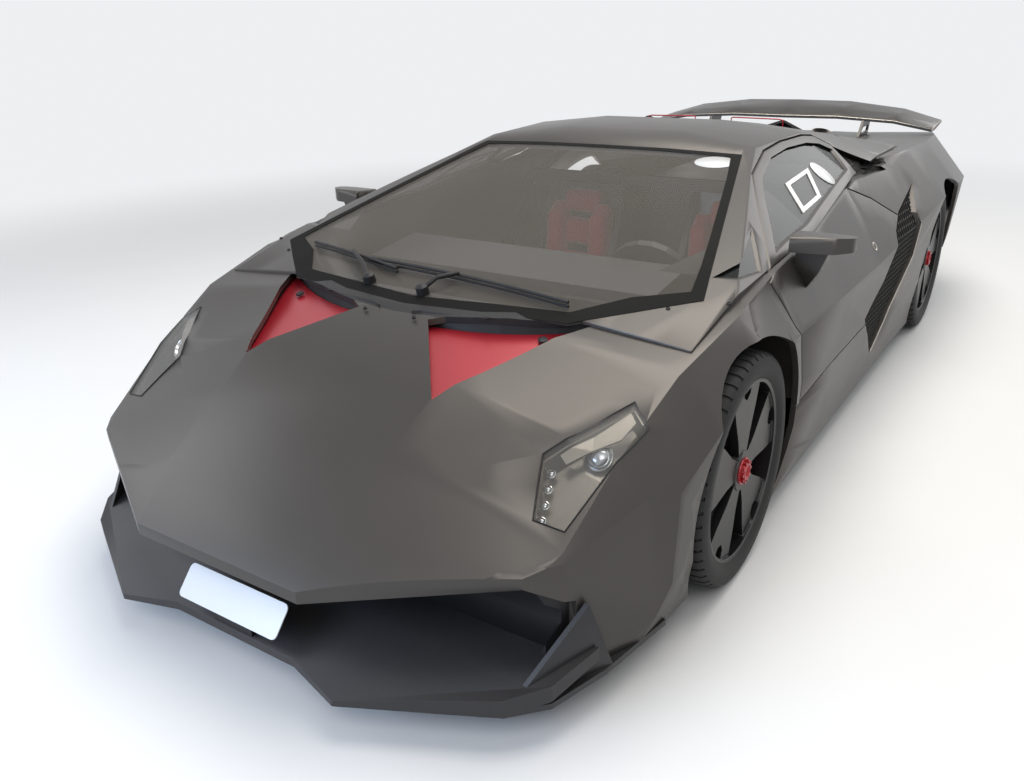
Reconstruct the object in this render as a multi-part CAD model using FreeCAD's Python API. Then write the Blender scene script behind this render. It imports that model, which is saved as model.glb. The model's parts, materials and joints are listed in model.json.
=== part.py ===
import FreeCAD, Part
import math
import os

# Supercar, full size, in millimetres.  The nose points along -Y, the car's
# left side is +X and the ground is z = 0, under the middle of the car.

# Driving sizes
WHEELBASE = 2560.0
FRONT_OVERHANG = 1090.0
REAR_OVERHANG = 930.0
WIDTH = 2045.0
ROOF_Z = 1102.0
FLOOR_Z = 95.0
LENGTH = FRONT_OVERHANG + WHEELBASE + REAR_OVERHANG
HALF = WIDTH / 2
FRONT = FRONT_OVERHANG - LENGTH / 2       # y of the front axle
REAR = FRONT + WHEELBASE                  # y of the rear axle

# Thicknesses and clearances
SKIN = 18.0               # carbon body panels
ROOF_SKIN = 26.0          # roof and pillars
GLASS = 6.0
MESH = 6.0                # depth of the mesh plates behind the skin
LAP = 20.0                # how far they reach past their openings
SEAT_GAP = 0.3            # between a fixed piece and what carries it
SHUT_GAP = 6.0            # round a moving panel
RUNNING_GAP = 0.8         # round a spindle or pin
REACH = 1300.0            # beyond the body, for cutting tools

# Wheels: end, axle y, tyre radius, tyre width, outer face in from the widest
WHEELS = (
    ("front", FRONT, 338.0, 245.0, 74.5),
    ("rear", REAR, 346.0, 305.0, 47.5),
)
RIM_R = 262.0
RIM_WALL = 10.0
TYRE_SHOULDER = 26.0
SIDES = 72                # facets of the large round forms
SPOKE_COUNT = 5
# Half of one spoke: across and out from the axle, from its notch to its root
PETAL = ((0, 212), (24, 226), (30, 254), (98, 238), (76, 176), (44, 104), (26, 40))
SPOKE_THICK = 26.0
SPOKE_DISH = 22.0         # spokes in from the tyre's outer face
HUB_R = 58.0
SPINDLE_R = 28.0
DISC_R = 182.0
DISC_THICK = 30.0
KINGPIN_R = 12.0
KINGPIN_X = 788.0
COLUMN_R = 20.0           # steering column
COLUMN_TILT = 25.0
ARCH_GAP = 44.0
ARCH_INNER_X = 500.0

# Body sections.  y is measured back from the axle named in the first column.
# Ridge and crest lie on top, wide is the shoulder, low the sill crease and
# foot the lower edge.  The x of all but the ridge is in from the widest.
# axle, y, ridge x, ridge z, crest in, crest z, wide in, wide z, low in, low z, foot in
HULL = (
    (FRONT, -1110, 285, 318, 332, 290, 262, 265, 252, 200, 282),
    (FRONT, -940, 296, 447, 300, 362, 207, 300, 197, 210, 237),
    (FRONT, -750, 318, 575, 232, 450, 142, 360, 137, 225, 182),
    (FRONT, -550, 335, 690, 207, 585, 97, 455, 100, 245, 142),
    (FRONT, -300, 343, 768, 172, 712, 57, 585, 72, 270, 117),
    (FRONT, 0, 345, 800, 138, 780, 32, 668, 57, 300, 97),
    (FRONT, 300, 345, 810, 150, 814, 50, 652, 67, 320, 97),
    (FRONT, 800, 345, 820, 166, 832, 56, 628, 70, 325, 97),
    (FRONT, 1300, 345, 840, 204, 886, 48, 622, 64, 325, 92),
    (REAR, -710, 345, 850, 210, 918, 22, 655, 47, 325, 82),
    (REAR, -260, 345, 850, 177, 905, 4, 690, 32, 330, 72),
    (REAR, 140, 345, 850, 170, 890, 0, 690, 32, 340, 72),
    (REAR, 590, 345, 840, 207, 868, 32, 660, 62, 370, 102),
    (REAR, 880, 345, 828, 262, 845, 107, 620, 122, 400, 162),
)
# Cabin sections.  Belt is its foot, rail the edge of the roof, crown its top.
# axle, y, belt x, belt z, rail x, rail below roof, crown x, crown below roof
CABIN = (
    (FRONT, -200, 850, 800, 545, 42, 250, 10),
    (FRONT, 800, 850, 838, 548, 39, 250, 9),
    (FRONT, 1450, 802, 912, 588, 36, 260, 0),
    (FRONT, 1900, 790, 925, 600, 98, 270, 62),
    (REAR, -210, 770, 905, 545, 165, 270, 150),
    (REAR, 790, 700, 800, 460, 300, 260, 290),
)
CABIN_FOOT_Z = 560.0
# Nose seen from above: x, y ahead of the front axle
NOSE = ((285, 1062), (740, 834), (800, 762), (905, 500), (1100, 300))
# Windscreen: z, y of its middle and of its sides back from the front axle
SCREEN_HALF = 900.0
SCREEN = ((700, -575, -330), (1160, 1350, 1460))
SCREEN_EDGE = ((0, -300), (500, -230), (782, 15), (741, 170), (645, 533), (541, 926), (0, 918))
COWL_FRONT = (830, -335, 105)             # half width, y of its middle and of its sides
COWL_BACK = 300

# Outlines seen from the side: y back from the front axle, z
DOOR_SIDE = ((410, 400), (400, 470), (350, 560), (285, 680), (268, 800), (342, 816), (643, 943),
             (800, 1002), (1035, 1046), (1217, 1056), (1430, 1054), (1545, 1040), (1618, 1000),
             (1505, 912), (1310, 886), (1516, 815), (1700, 722), (1760, 640), (1580, 470), (1350, 400))
WINDOW_SIDE = ((450, 838), (716, 948), (830, 988), (1035, 1028), (1217, 1038), (1396, 1034),
               (1505, 1018), (1572, 988), (1470, 930), (1310, 914), (1039, 884), (800, 856), (560, 846))
QUARTER_SIDE = ((129, 834), (474, 907), (290, 822))
CLAM_REAR = ((94, 1200), (94, 800), (20, 735), (5, 660), (5, 0), (-1300, 0), (-1300, 1200))
# The same, back from the rear axle
SLOT_SIDE = ((-490, 795), (-841, 731), (-966, 681), (-1147, 523), (-1356, 427), (-1105, 207),
             (-941, 357), (-678, 516), (-647, 698))
QUARTER_INTAKE = ((-960, 1003), (-699, 876), (-1110, 895))
MIRROR_SIDE = ((460, 842), (458, 876), (480, 892), (580, 884), (592, 850))
MIRROR_ARM = ((880, 845), (975, 845), (950, 780), (900, 700), (860, 760))
SILL_TOP_Z = 394.0
SEAT_SIDE = ((900, 145), (1450, 145), (1530, 790), (1470, 800), (1425, 760), (1330, 560),
             (1250, 400), (1000, 330), (900, 300))
DOOR_INNER_X = 790.0
DOOR_TOP_X = 535.0        # inner end of the door under the roof's edge
SEAL_X = 850.0            # rubber seal under the door, on the sill
SKIRT_INNER_X = HALF - 140
DUCT_BACK = FRONT - 729.0
BULKHEAD_Y = FRONT + 1625.0
ROOF_END_Y = FRONT + 1900.0
DECK_END_Y = REAR + 650.0
TAIL_BEAM_TOP = 440.0
DIFFUSER_FRONT_Z = FLOOR_Z + 24
DIFFUSER_BACK_Z = 330.0
COVER_HALF = 430.0
# Wing: x and z of its top along the span; y behind the rear axle, drop and thickness
WING_ARCH = ((0, 1006), (300, 1002), (600, 968), (800, 912))
WING_CHORD = ((590, 62, 16), (690, 26, 26), (870, 0, 12))
TIP_RISE = 0.7            # share of the drop that is lost at the tips
STAY_X = 440.0
# Roof scoops: half width, middle x, peak z, y of the mouth and of the tail
ROOF_SCOOP = (88, 338, 1045, 840, 1160)
SCOOP_FALL = 92.0

# Front openings, seen from the front: x, z; scoop and lamp from above: x, y
MOUTH = ((285, 322), (740, 388), (838, 300), (760, 132))
SCOOP = ((336, -605), (127, -345), (645, -45))
LAMP = ((785, -400), (842, -440), (775, -715), (700, -725), (652, -600))
SPLITTER = ((215, -1042), (385, -1090), (735, -920), (812, -840), (862, -680), (905, -440))
MIRROR_PLAN = ((865, 462), (990, 480), (1036, 520), (1040, 560), (1020, 575), (865, 590))
SPLITTER_THICK = 16.0
RAMP_RISE = 74.0          # the splitter's top climbs into the mouth


def v(x, y, z):
    return FreeCAD.Vector(x, y, z)


def face(points):
    return Part.Face(Part.makePolygon(list(points) + [points[0]]))


def prism_x(points, x0, x1):
    """Extrude a side outline of y, z points."""
    return face([v(x0, y, z) for y, z in points]).extrude(v(x1 - x0, 0, 0))


def prism_y(points, y0, y1):
    """Extrude a front outline of x, z points."""
    return face([v(x, y0, z) for x, z in points]).extrude(v(0, y1 - y0, 0))


def prism_z(points, z0, z1):
    """Extrude a plan outline of x, y points."""
    return face([v(x, y, z0) for x, y in points]).extrude(v(0, 0, z1 - z0))


def box(x0, x1, y0, y1, z0, z1):
    return Part.makeBox(x1 - x0, y1 - y0, z1 - z0, v(x0, y0, z0))


def bar(half_x, y0, y1, z0, z1):
    """A box across the car, the same on both sides."""
    return box(-half_x, half_x, y0, y1, z0, z1)


def circle(radius, y, z):
    """The corners of a round outline seen from the side."""
    turns = [math.tau * k / SIDES for k in range(SIDES)]
    return [(y + radius * math.sin(turn), z + radius * math.cos(turn)) for turn in turns]


def disc_x(radius, x0, x1, y, z):
    """A large round plate across the car, with flat facets."""
    return prism_x(circle(radius, y, z), x0, x1)


def turned(profile, y, z):
    """A closed x, radius profile turned round an axle, with flat facets."""
    rings = [[v(x, *spot) for x, spot in zip([p[0] for p in profile], spots)]
             for spots in zip(*[circle(r, y, z) for x, r in profile])]
    faces = []
    for ring, following in zip(rings, rings[1:] + rings[:1]):
        for i in range(len(ring)):
            faces.append(face([ring[i - 1], ring[i], following[i], following[i - 1]]))
    solid = Part.makeSolid(Part.makeShell(faces))
    return solid if solid.Volume > 0 else solid.reversed()


def arc(half, middle, side, steps=24):
    """Points of a shallow arc across the car, from its middle and side places."""
    rise = side - middle
    radius = (half ** 2 + rise ** 2) / (2 * rise)
    sweep = math.asin(half / radius)
    turns = [sweep * (2 * k / steps - 1) for k in range(steps + 1)]
    return [(radius * math.sin(turn), middle + radius - radius * math.cos(turn)) for turn in turns]


def cylinder_x(radius, x0, x1, y, z):
    return Part.makeCylinder(radius, x1 - x0, v(x0, y, z), v(1, 0, 0))


def rod(start, end, radius):
    return Part.makeCylinder(radius, (end - start).Length, start, end - start)


def mirror(shape):
    return shape.mirror(v(0, 0, 0), v(1, 0, 0))


def both(shape):
    return Part.makeCompound([shape, mirror(shape)])


def union(shapes):
    return shapes[0].fuse(shapes[1:]).removeSplitter()


def largest(shape):
    return max(shape.Solids, key=lambda solid: solid.Volume)


def back(points, axle_y):
    """Side outline moved from its axle to the car's frame."""
    return [(y + axle_y, z) for y, z in points]


def plan(half, axle_y=FRONT):
    """A plan outline of both sides from its left half, listed rear to front or back."""
    shifted = [(x, y + axle_y) for x, y in half]
    return shifted + [(-x, y) for x, y in reversed(shifted) if x]


def inset(points, amount):
    """The outline moved inwards by one amount, its corners kept."""
    pairs = list(zip(points, points[1:] + points[:1]))
    turn = math.copysign(1.0, sum(a[0] * b[1] - b[0] * a[1] for a, b in pairs))
    lines = []
    for a, b in pairs:
        dx, dz = b[0] - a[0], b[1] - a[1]
        scale = turn * amount / math.hypot(dx, dz)
        lines.append((a[0] - dz * scale, a[1] + dx * scale, dx, dz))
    moved = []
    for p, q in zip([lines[-1]] + lines[:-1], lines):
        cross = q[2] * p[3] - p[2] * q[3]
        if abs(cross) < 1e-6:
            moved.append((q[0], q[1]))
            continue
        t = (q[2] * (q[1] - p[1]) - q[3] * (q[0] - p[0])) / cross
        moved.append((p[0] + p[2] * t, p[1] + p[3] * t))
    return moved


def loft_y(stations, amount=0.0):
    """A ruled solid through symmetric outlines that stand along y."""
    wires = []
    for index, (y, half) in enumerate(stations):
        outline = list(half) + [(-x, z) for x, z in reversed(half)]
        if amount:
            outline = inset(outline, amount)
            y += amount * ((index == 0) - (index == len(stations) - 1))
        ring = [v(x, y, z) for x, z in outline]
        wires.append(Part.makePolygon(ring + ring[:1]))
    return Part.makeLoft(wires, True, True)


def hull(amount=0.0):
    """The lower body without the cabin, shrunk by an amount."""
    rows = []
    for axle, y, ridge_x, ridge_z, crest, crest_z, wide, wide_z, low, low_z, foot in HULL:
        rows.append((axle + y, [(ridge_x, ridge_z), (HALF - crest, crest_z),
                                (HALF - wide, wide_z), (HALF - low, low_z),
                                (HALF - foot, FLOOR_Z)]))
    nose = [(x, FRONT - y) for x, y in NOSE]
    outline = [(-x, y) for x, y in reversed(nose)] + nose + [
        (REACH, REAR + REACH), (-REACH, REAR + REACH)]
    cutter = prism_z(inset(outline, amount) if amount else outline, 0, REACH)
    return loft_y(rows, amount).common(cutter)


def ahead_of_screen(drop=0.0):
    """All that lies in front of and above the windscreen."""
    wires = []
    for z, middle, side in SCREEN:
        edge = arc(SCREEN_HALF, middle, side) + [(SCREEN_HALF, -REACH), (-SCREEN_HALF, -REACH)]
        ring = [v(x, FRONT + y, z - drop) for x, y in edge]
        wires.append(Part.makePolygon(ring + ring[:1]))
    return Part.makeLoft(wires, True, True)


def cabin(amount=0.0):
    """The cabin from belt to roof, shrunk by an amount, behind the windscreen."""
    rows = []
    for axle, y, belt_x, belt_z, rail_x, rail, crown_x, crown in CABIN:
        rows.append((axle + y, [(crown_x, ROOF_Z - crown), (rail_x, ROOF_Z - rail),
                                (belt_x, belt_z), (belt_x - 40, CABIN_FOOT_Z)]))
    return loft_y(rows, amount).cut(ahead_of_screen(amount))


class Body:
    """The shapes that the panels are cut from."""

    def __init__(self):
        self.hull = hull()
        self.hull_inner = hull(SKIN)
        self.cabin = cabin()
        self.cabin_inner = cabin(ROOF_SKIN)
        self.shell = self.hull.fuse(self.cabin)
        self.skin = self.shell.cut(self.hull_inner.fuse(self.cabin_inner))
        self.low_skin = self.skin.common(self.hull)
        self.top_skin = self.skin.cut(self.hull)
        self.arches = []
        for end, axle_y, radius, width, face_in in WHEELS:
            arch = disc_x(radius + ARCH_GAP, ARCH_INNER_X, REACH, axle_y, radius)
            self.arches.append(both(arch))
        self.front_arch, self.rear_arch = self.arches
        self.aperture = prism_z(plan(SCREEN_EDGE), 600, 1300)
        self.screen_zone = prism_z(inset(plan(SCREEN_EDGE), SEAT_GAP), 600, 1300)
        half, middle, side = COWL_FRONT
        edge = arc(half, middle, side) + [(half, COWL_BACK), (-half, COWL_BACK)]
        self.cowl_zone = prism_z([(x, y + FRONT) for x, y in edge], 500, 1300)
        self.scoops = both(prism_z([(x, y + FRONT) for x, y in SCOOP], 300, REACH))
        self.lamps = both(prism_z([(x, y + FRONT) for x, y in LAMP], 300, REACH))
        self.splitter_plan = plan(SPLITTER)
        self.door_gap = both(prism_x(inset(back(DOOR_SIDE, FRONT), -SHUT_GAP), DOOR_TOP_X, REACH))
        self.quarter_intakes = both(prism_x(back(QUARTER_INTAKE, REAR), 300, REACH))
        self.slots = both(prism_x(back(SLOT_SIDE, REAR), 760, REACH))
        self.pipe_holes = [pipe(side, 66.0, 40.0) for side in (1, -1)]


def pipe(side, radius, longer=0.0):
    """An exhaust that rises towards the tail, at one side of the middle."""
    start = v(side * 150, REAR + 700 - longer * 0.5, 530 - longer)
    return Part.makeCylinder(radius, 335 + 2.3 * longer, start, v(0, 0.5, 0.86))


def front_end(body):
    """Clamshell, ducts, lamps, nose, splitter and plate."""
    ramp_y = FRONT - 700
    side = [(-LENGTH / 2, FLOOR_Z + 5), (-LENGTH / 2, FLOOR_Z + 5 + SPLITTER_THICK),
            (ramp_y, FLOOR_Z + 5 + SPLITTER_THICK + RAMP_RISE), (ramp_y, FLOOR_Z + 60),
            (ramp_y - 160, FLOOR_Z + 5 + SPLITTER_THICK), (FRONT - 440, FLOOR_Z + 5 + SPLITTER_THICK),
            (FRONT - 440, FLOOR_Z + 5)]
    splitter = prism_x(side, -REACH, REACH).common(prism_z(body.splitter_plan, 0, 400))
    splitter = splitter.cut(body.front_arch)
    above = prism_x([(y, z + (SEAT_GAP if z > FLOOR_Z + 10 else -50)) for y, z in side], -REACH, REACH)
    clam = body.low_skin.common(prism_x(back(CLAM_REAR, FRONT), -REACH, REACH))
    mouth = prism_y(plan_front(MOUTH), -LENGTH / 2 - 50, FRONT - 730)
    clam = largest(clam.cut([mouth, body.front_arch, body.cowl_zone, body.scoops, body.lamps,
                             splitter, above, bar(740, FRONT - 1300, FRONT, 0, 132),
                             bar(REACH, FRONT - 1300, FRONT - 430, 0, FLOOR_Z + 6 + SPLITTER_THICK)]))
    fence = face([v(739, FRONT - 916, FLOOR_Z + 12), v(838, FRONT - 716, 312), v(868, FRONT - 650, FLOOR_Z + 12)])
    fence = largest(fence.extrude(v(-12, 0, 0)).cut([clam, body.front_arch]))
    tray = face([v(330, FRONT - 620, 640), v(690, FRONT - 10, 765), v(60, FRONT - 345, 728)])
    tray = tray.extrude(v(0, 0, -8)).common(body.hull).cut([clam, body.cowl_zone])
    cowl = body.hull.cut(body.hull_inner).common(body.cowl_zone).cut([body.cabin, clam])
    cowl = largest(cowl.common(bar(REACH, FRONT - 400, FRONT + 150, 500, REACH)))
    lens_zone = both(prism_z(inset([(x, y + FRONT) for x, y in LAMP], SEAT_GAP), 300, REACH))
    lens = body.hull.cut(hull(GLASS)).common(lens_zone)
    bucket_zone = both(prism_z(inset([(x, y + FRONT) for x, y in LAMP], -14), 300, REACH))
    hollow_zone = both(prism_z(inset([(x, y + FRONT) for x, y in LAMP], 4), 300, REACH))
    bucket = hull(SKIN + SEAT_GAP).common(bucket_zone).cut(hull(SKIN + 62).common(bucket_zone))
    bucket = bucket.cut([hull(SKIN - 2).cut(hull(SKIN + 50)).common(hollow_zone), body.front_arch])
    duct = prism_y(inset(plan_front(MOUTH), -14), DUCT_BACK - 51, DUCT_BACK)
    duct = duct.cut(prism_y(inset(plan_front(MOUTH), 34), DUCT_BACK - 71, DUCT_BACK - 21))
    duct = duct.common(body.hull_inner).cut([clam, above, splitter, bucket])
    foot_y = FRONT + SPLITTER[0][1] + 3
    foot_z = side[1][1] + (foot_y + 14 - side[1][0]) * RAMP_RISE / (ramp_y - side[1][0]) + SEAT_GAP
    low_y, low_z = FRONT - 1058, 172
    plate = prism_x([(low_y, low_z), (low_y + 6, low_z - 5), (low_y + 66, low_z + 61),
                     (low_y + 60, low_z + 66)], -178, 178)
    bracket = prism_x([(foot_y, foot_z), (foot_y + 14, foot_z), (low_y + 40, low_z + 31),
                       (low_y + 20, low_z + 12)], -70, 70)
    return {"front_clamshell": clam, "scoop_liners": both(tray), "cowl": cowl,
            "headlamp_lenses": lens, "headlamp_housings": bucket, "nose_duct": largest(duct),
            "splitter": union([splitter, fence, mirror(fence)]),
            "number_plate": union([plate, bracket])}


def plan_front(half):
    """A front outline of both sides from its left half."""
    return list(half) + [(-x, z) for x, z in reversed(half)]


def glazing_and_doors(body):
    """Windscreen, roof, posts, doors, side glass and mirrors."""
    parts = {}
    screen = ahead_of_screen(GLASS + 1).cut(ahead_of_screen(1)).common(body.screen_zone)
    parts["windscreen"] = largest(screen.common(bar(SCREEN_HALF, FRONT - 400, FRONT + 1300, 700, REACH)
                                                ).cut(body.hull))
    side_glass = cabin(8).cut(cabin(8 + GLASS))
    quarter = prism_x(back(QUARTER_SIDE, FRONT), 300, REACH)
    quarter_zone = prism_x(inset(back(QUARTER_SIDE, FRONT), SEAT_GAP), 300, REACH)
    parts["quarter_glass"] = both(largest(side_glass.common(quarter_zone)))
    roof = body.top_skin.cut([body.aperture, body.door_gap, body.quarter_intakes, both(quarter)])
    parts["roof_frame"] = largest(roof.common(bar(REACH, FRONT - 300, ROOF_END_Y, 600, REACH)))
    window = prism_x(back(WINDOW_SIDE, FRONT), 300, REACH)
    door = body.shell.common(prism_x(back(DOOR_SIDE, FRONT), DOOR_TOP_X + SHUT_GAP, REACH))
    door = largest(door.cut([body.cabin_inner, window, body.aperture, body.slots,
                             bar(DOOR_INNER_X, FRONT, REAR, 0, 850)] + body.arches))
    glass = side_glass.common(prism_x(inset(back(WINDOW_SIDE, FRONT), SEAT_GAP), 300, REACH))
    glass = largest(glass)
    head = prism_x([(FRONT + y, z) for y, z in MIRROR_SIDE], 800, REACH).common(
        prism_z([(x, FRONT + y) for x, y in MIRROR_PLAN], 800, 1000))
    arm = prism_y(MIRROR_ARM, FRONT + 500, FRONT + 560)
    mirror_shape = largest(union([head, arm]).cut(body.shell))
    for name, shape in (("door", door), ("door_glass", glass), ("mirror", mirror_shape)):
        parts[name + "_left"] = shape
        parts[name + "_right"] = mirror(shape)
    posts = body.low_skin.common(box(DOOR_INNER_X, REACH, FRONT - 10, FRONT + 420,
                                     SILL_TOP_Z + SEAT_GAP, REACH))
    posts = posts.cut([prism_x(inset(back(CLAM_REAR, FRONT), -SEAT_GAP), -REACH, REACH),
                       body.door_gap, body.front_arch, body.cowl_zone])
    parts["front_posts"] = both(largest(posts))
    return parts


def roof_scoop(wall):
    """A wedge behind the roof, or its hollow where a wall is given."""
    half, middle, peak, mouth_y, tail_y = ROOF_SCOOP
    wires = []
    for y, fall in ((mouth_y - 6 * (wall > 0), 0), (tail_y - 4 * wall, SCOOP_FALL)):
        top = peak - fall - wall
        ring = [(middle - half + wall, top - 80), (middle - half + wall, top - 30), (middle, top),
                (middle + half - wall, top - 42), (middle + half - wall, top - 80)]
        corners = [v(x, y, z) for x, z in ring]
        wires.append(Part.makePolygon(corners + corners[:1]))
    return Part.makeLoft(wires, True, True)


def rear_end(body):
    """Rear clamshell, intakes, engine cover, wing and tail."""
    parts = {}
    region = prism_x([(FRONT + 1130, SILL_TOP_Z + SEAT_GAP), (FRONT + 1130, 860), (FRONT + 1340, 895),
                      (ROOF_END_Y + SEAT_GAP, 895), (ROOF_END_Y + SEAT_GAP, REACH),
                      (LENGTH / 2, REACH), (LENGTH / 2, SILL_TOP_Z - 90), (REAR + 450, SILL_TOP_Z - 90),
                      (REAR, SILL_TOP_Z + SEAT_GAP)], -REACH, REACH)
    upper = body.top_skin.common(bar(REACH, ROOF_END_Y + SEAT_GAP, LENGTH / 2, 600, 2 * REACH))
    rear = body.low_skin.common(region).fuse(upper).cut(body.pipe_holes + [
        body.door_gap, body.slots, body.rear_arch, body.quarter_intakes,
        bar(COVER_HALF + SEAT_GAP, ROOF_END_Y, DECK_END_Y + SEAT_GAP, 600, REACH),
        bar(840, REAR + 760, REACH * 2, 200, 735)])
    parts["rear_clamshell"] = largest(rear)
    cover = body.skin.common(bar(COVER_HALF, ROOF_END_Y + SEAT_GAP, DECK_END_Y, 700, REACH))
    holes = []
    for y, count in ((-330, 1), (-110, 2), (110, 2), (330, 1)):
        for index in range(count):
            for side in (1, -1):
                x = side * (115 + 180 * index + 55 * (count == 1))
                ring = [(x + 72 * math.cos(math.radians(60 * k)),
                         REAR + y + 72 * math.sin(math.radians(60 * k))) for k in range(6)]
                holes.append(prism_z(ring, 600, REACH))
    scoop = roof_scoop(0).cut([roof_scoop(9), body.cabin_inner, body.hull_inner])
    parts["engine_cover"] = largest(union([cover.cut(holes), scoop, mirror(scoop)]))
    slot_room = prism_x(inset(back(SLOT_SIDE, REAR), SHUT_GAP), 700, REACH)
    mesh = hull(SKIN + SEAT_GAP).cut(hull(SKIN + MESH))
    mesh = mesh.common(prism_x(inset(back(SLOT_SIDE, REAR), -LAP), 700, REACH))
    mesh = mesh.cut([body.door_gap.cut(slot_room), body.rear_arch])
    lap = prism_x(inset(back(QUARTER_INTAKE, REAR), -LAP), 300, REACH)
    depths = [hull(SKIN + more).common(lap).fuse(cabin(ROOF_SKIN + more).common(lap))
              for more in (SEAT_GAP, MESH)]
    duct = depths[0].cut([depths[1], body.door_gap])
    parts["intake_meshes"] = Part.makeCompound([both(largest(mesh)), both(largest(duct))])
    skirts = body.low_skin.common(bar(REACH, FRONT + 250, REAR - 250, 0, SILL_TOP_Z))
    skirts = skirts.cut([body.front_arch, body.rear_arch, bar(SKIRT_INNER_X, FRONT, REAR, 0, SILL_TOP_Z),
                         body.slots])
    parts["side_skirts"] = both(largest(skirts))
    fascia = prism_y(plan_front(((855, 735), (850, 430), (640, 400))), REAR + 820, REAR + 850)
    fascia = fascia.common(body.hull_inner).cut(body.pipe_holes)
    parts["rear_fascia"] = largest(fascia)
    bars = []
    for x0, z0, x1, z1 in ((300, 650, 560, 590), (560, 590, 770, 668), (560, 590, 700, 480)):
        bars.append(prism_y([(x0, z0 - 13), (x1, z1 - 13), (x1, z1 + 13), (x0, z0 + 13)],
                            REAR + 850 + SEAT_GAP, REAR + 872))
    parts["tail_lamps"] = both(union(bars))
    tail_y = REAR + REAR_OVERHANG
    tail = prism_x([(REAR + 560, FLOOR_Z), (REAR + 560, DIFFUSER_FRONT_Z), (REAR + 850, DIFFUSER_BACK_Z),
                    (tail_y, 352), (tail_y, 330)], -620, 620)
    fins = [prism_x([(REAR + 565, FLOOR_Z + 1), (tail_y - 20, FLOOR_Z + 30), (tail_y - 10, 326)],
                    x - 6, x + 6) for x in range(-480, 481, 240)]
    parts["diffuser"] = union([tail] + fins)
    silencer = bar(270, REAR + 640, REAR + 780, TAIL_BEAM_TOP + SEAT_GAP, 560)
    pipes = [pipe(s, 62.0) for s in (1, -1)]
    bores = [pipe(s, 56.0, 30).cut(bar(400, REAR, REAR + 1000, 0, 600)) for s in (1, -1)]
    parts["exhausts"] = union([silencer] + pipes).cut(bores)
    sections = []
    for y, drop, thick in WING_CHORD:
        top = [(x, z - drop * (1 - TIP_RISE * (x / WING_ARCH[-1][0]) ** 2)) for x, z in WING_ARCH]
        half = top + [(x, z - thick) for x, z in reversed(top)]
        ring = [v(x, REAR + y, z) for x, z in half]
        sections.append(Part.makePolygon(ring + ring[:1]))
    half_wing = Part.makeLoft(sections, True, True)
    parts["wing"] = union([half_wing, mirror(half_wing)])
    stay = prism_x([(REAR + 400, 740), (REAR + 660, 740), (REAR + 790, 978), (REAR + 640, 978)],
                   STAY_X - 6, STAY_X + 6)
    window = prism_x([(REAR + 545, 862), (REAR + 705, 862), (REAR + 722, 890), (REAR + 600, 890)],
                     STAY_X - 20, STAY_X + 20)
    stay = largest(stay.cut([half_wing, body.shell, window]))
    parts["wing_stays"] = both(stay)
    return parts


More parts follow.
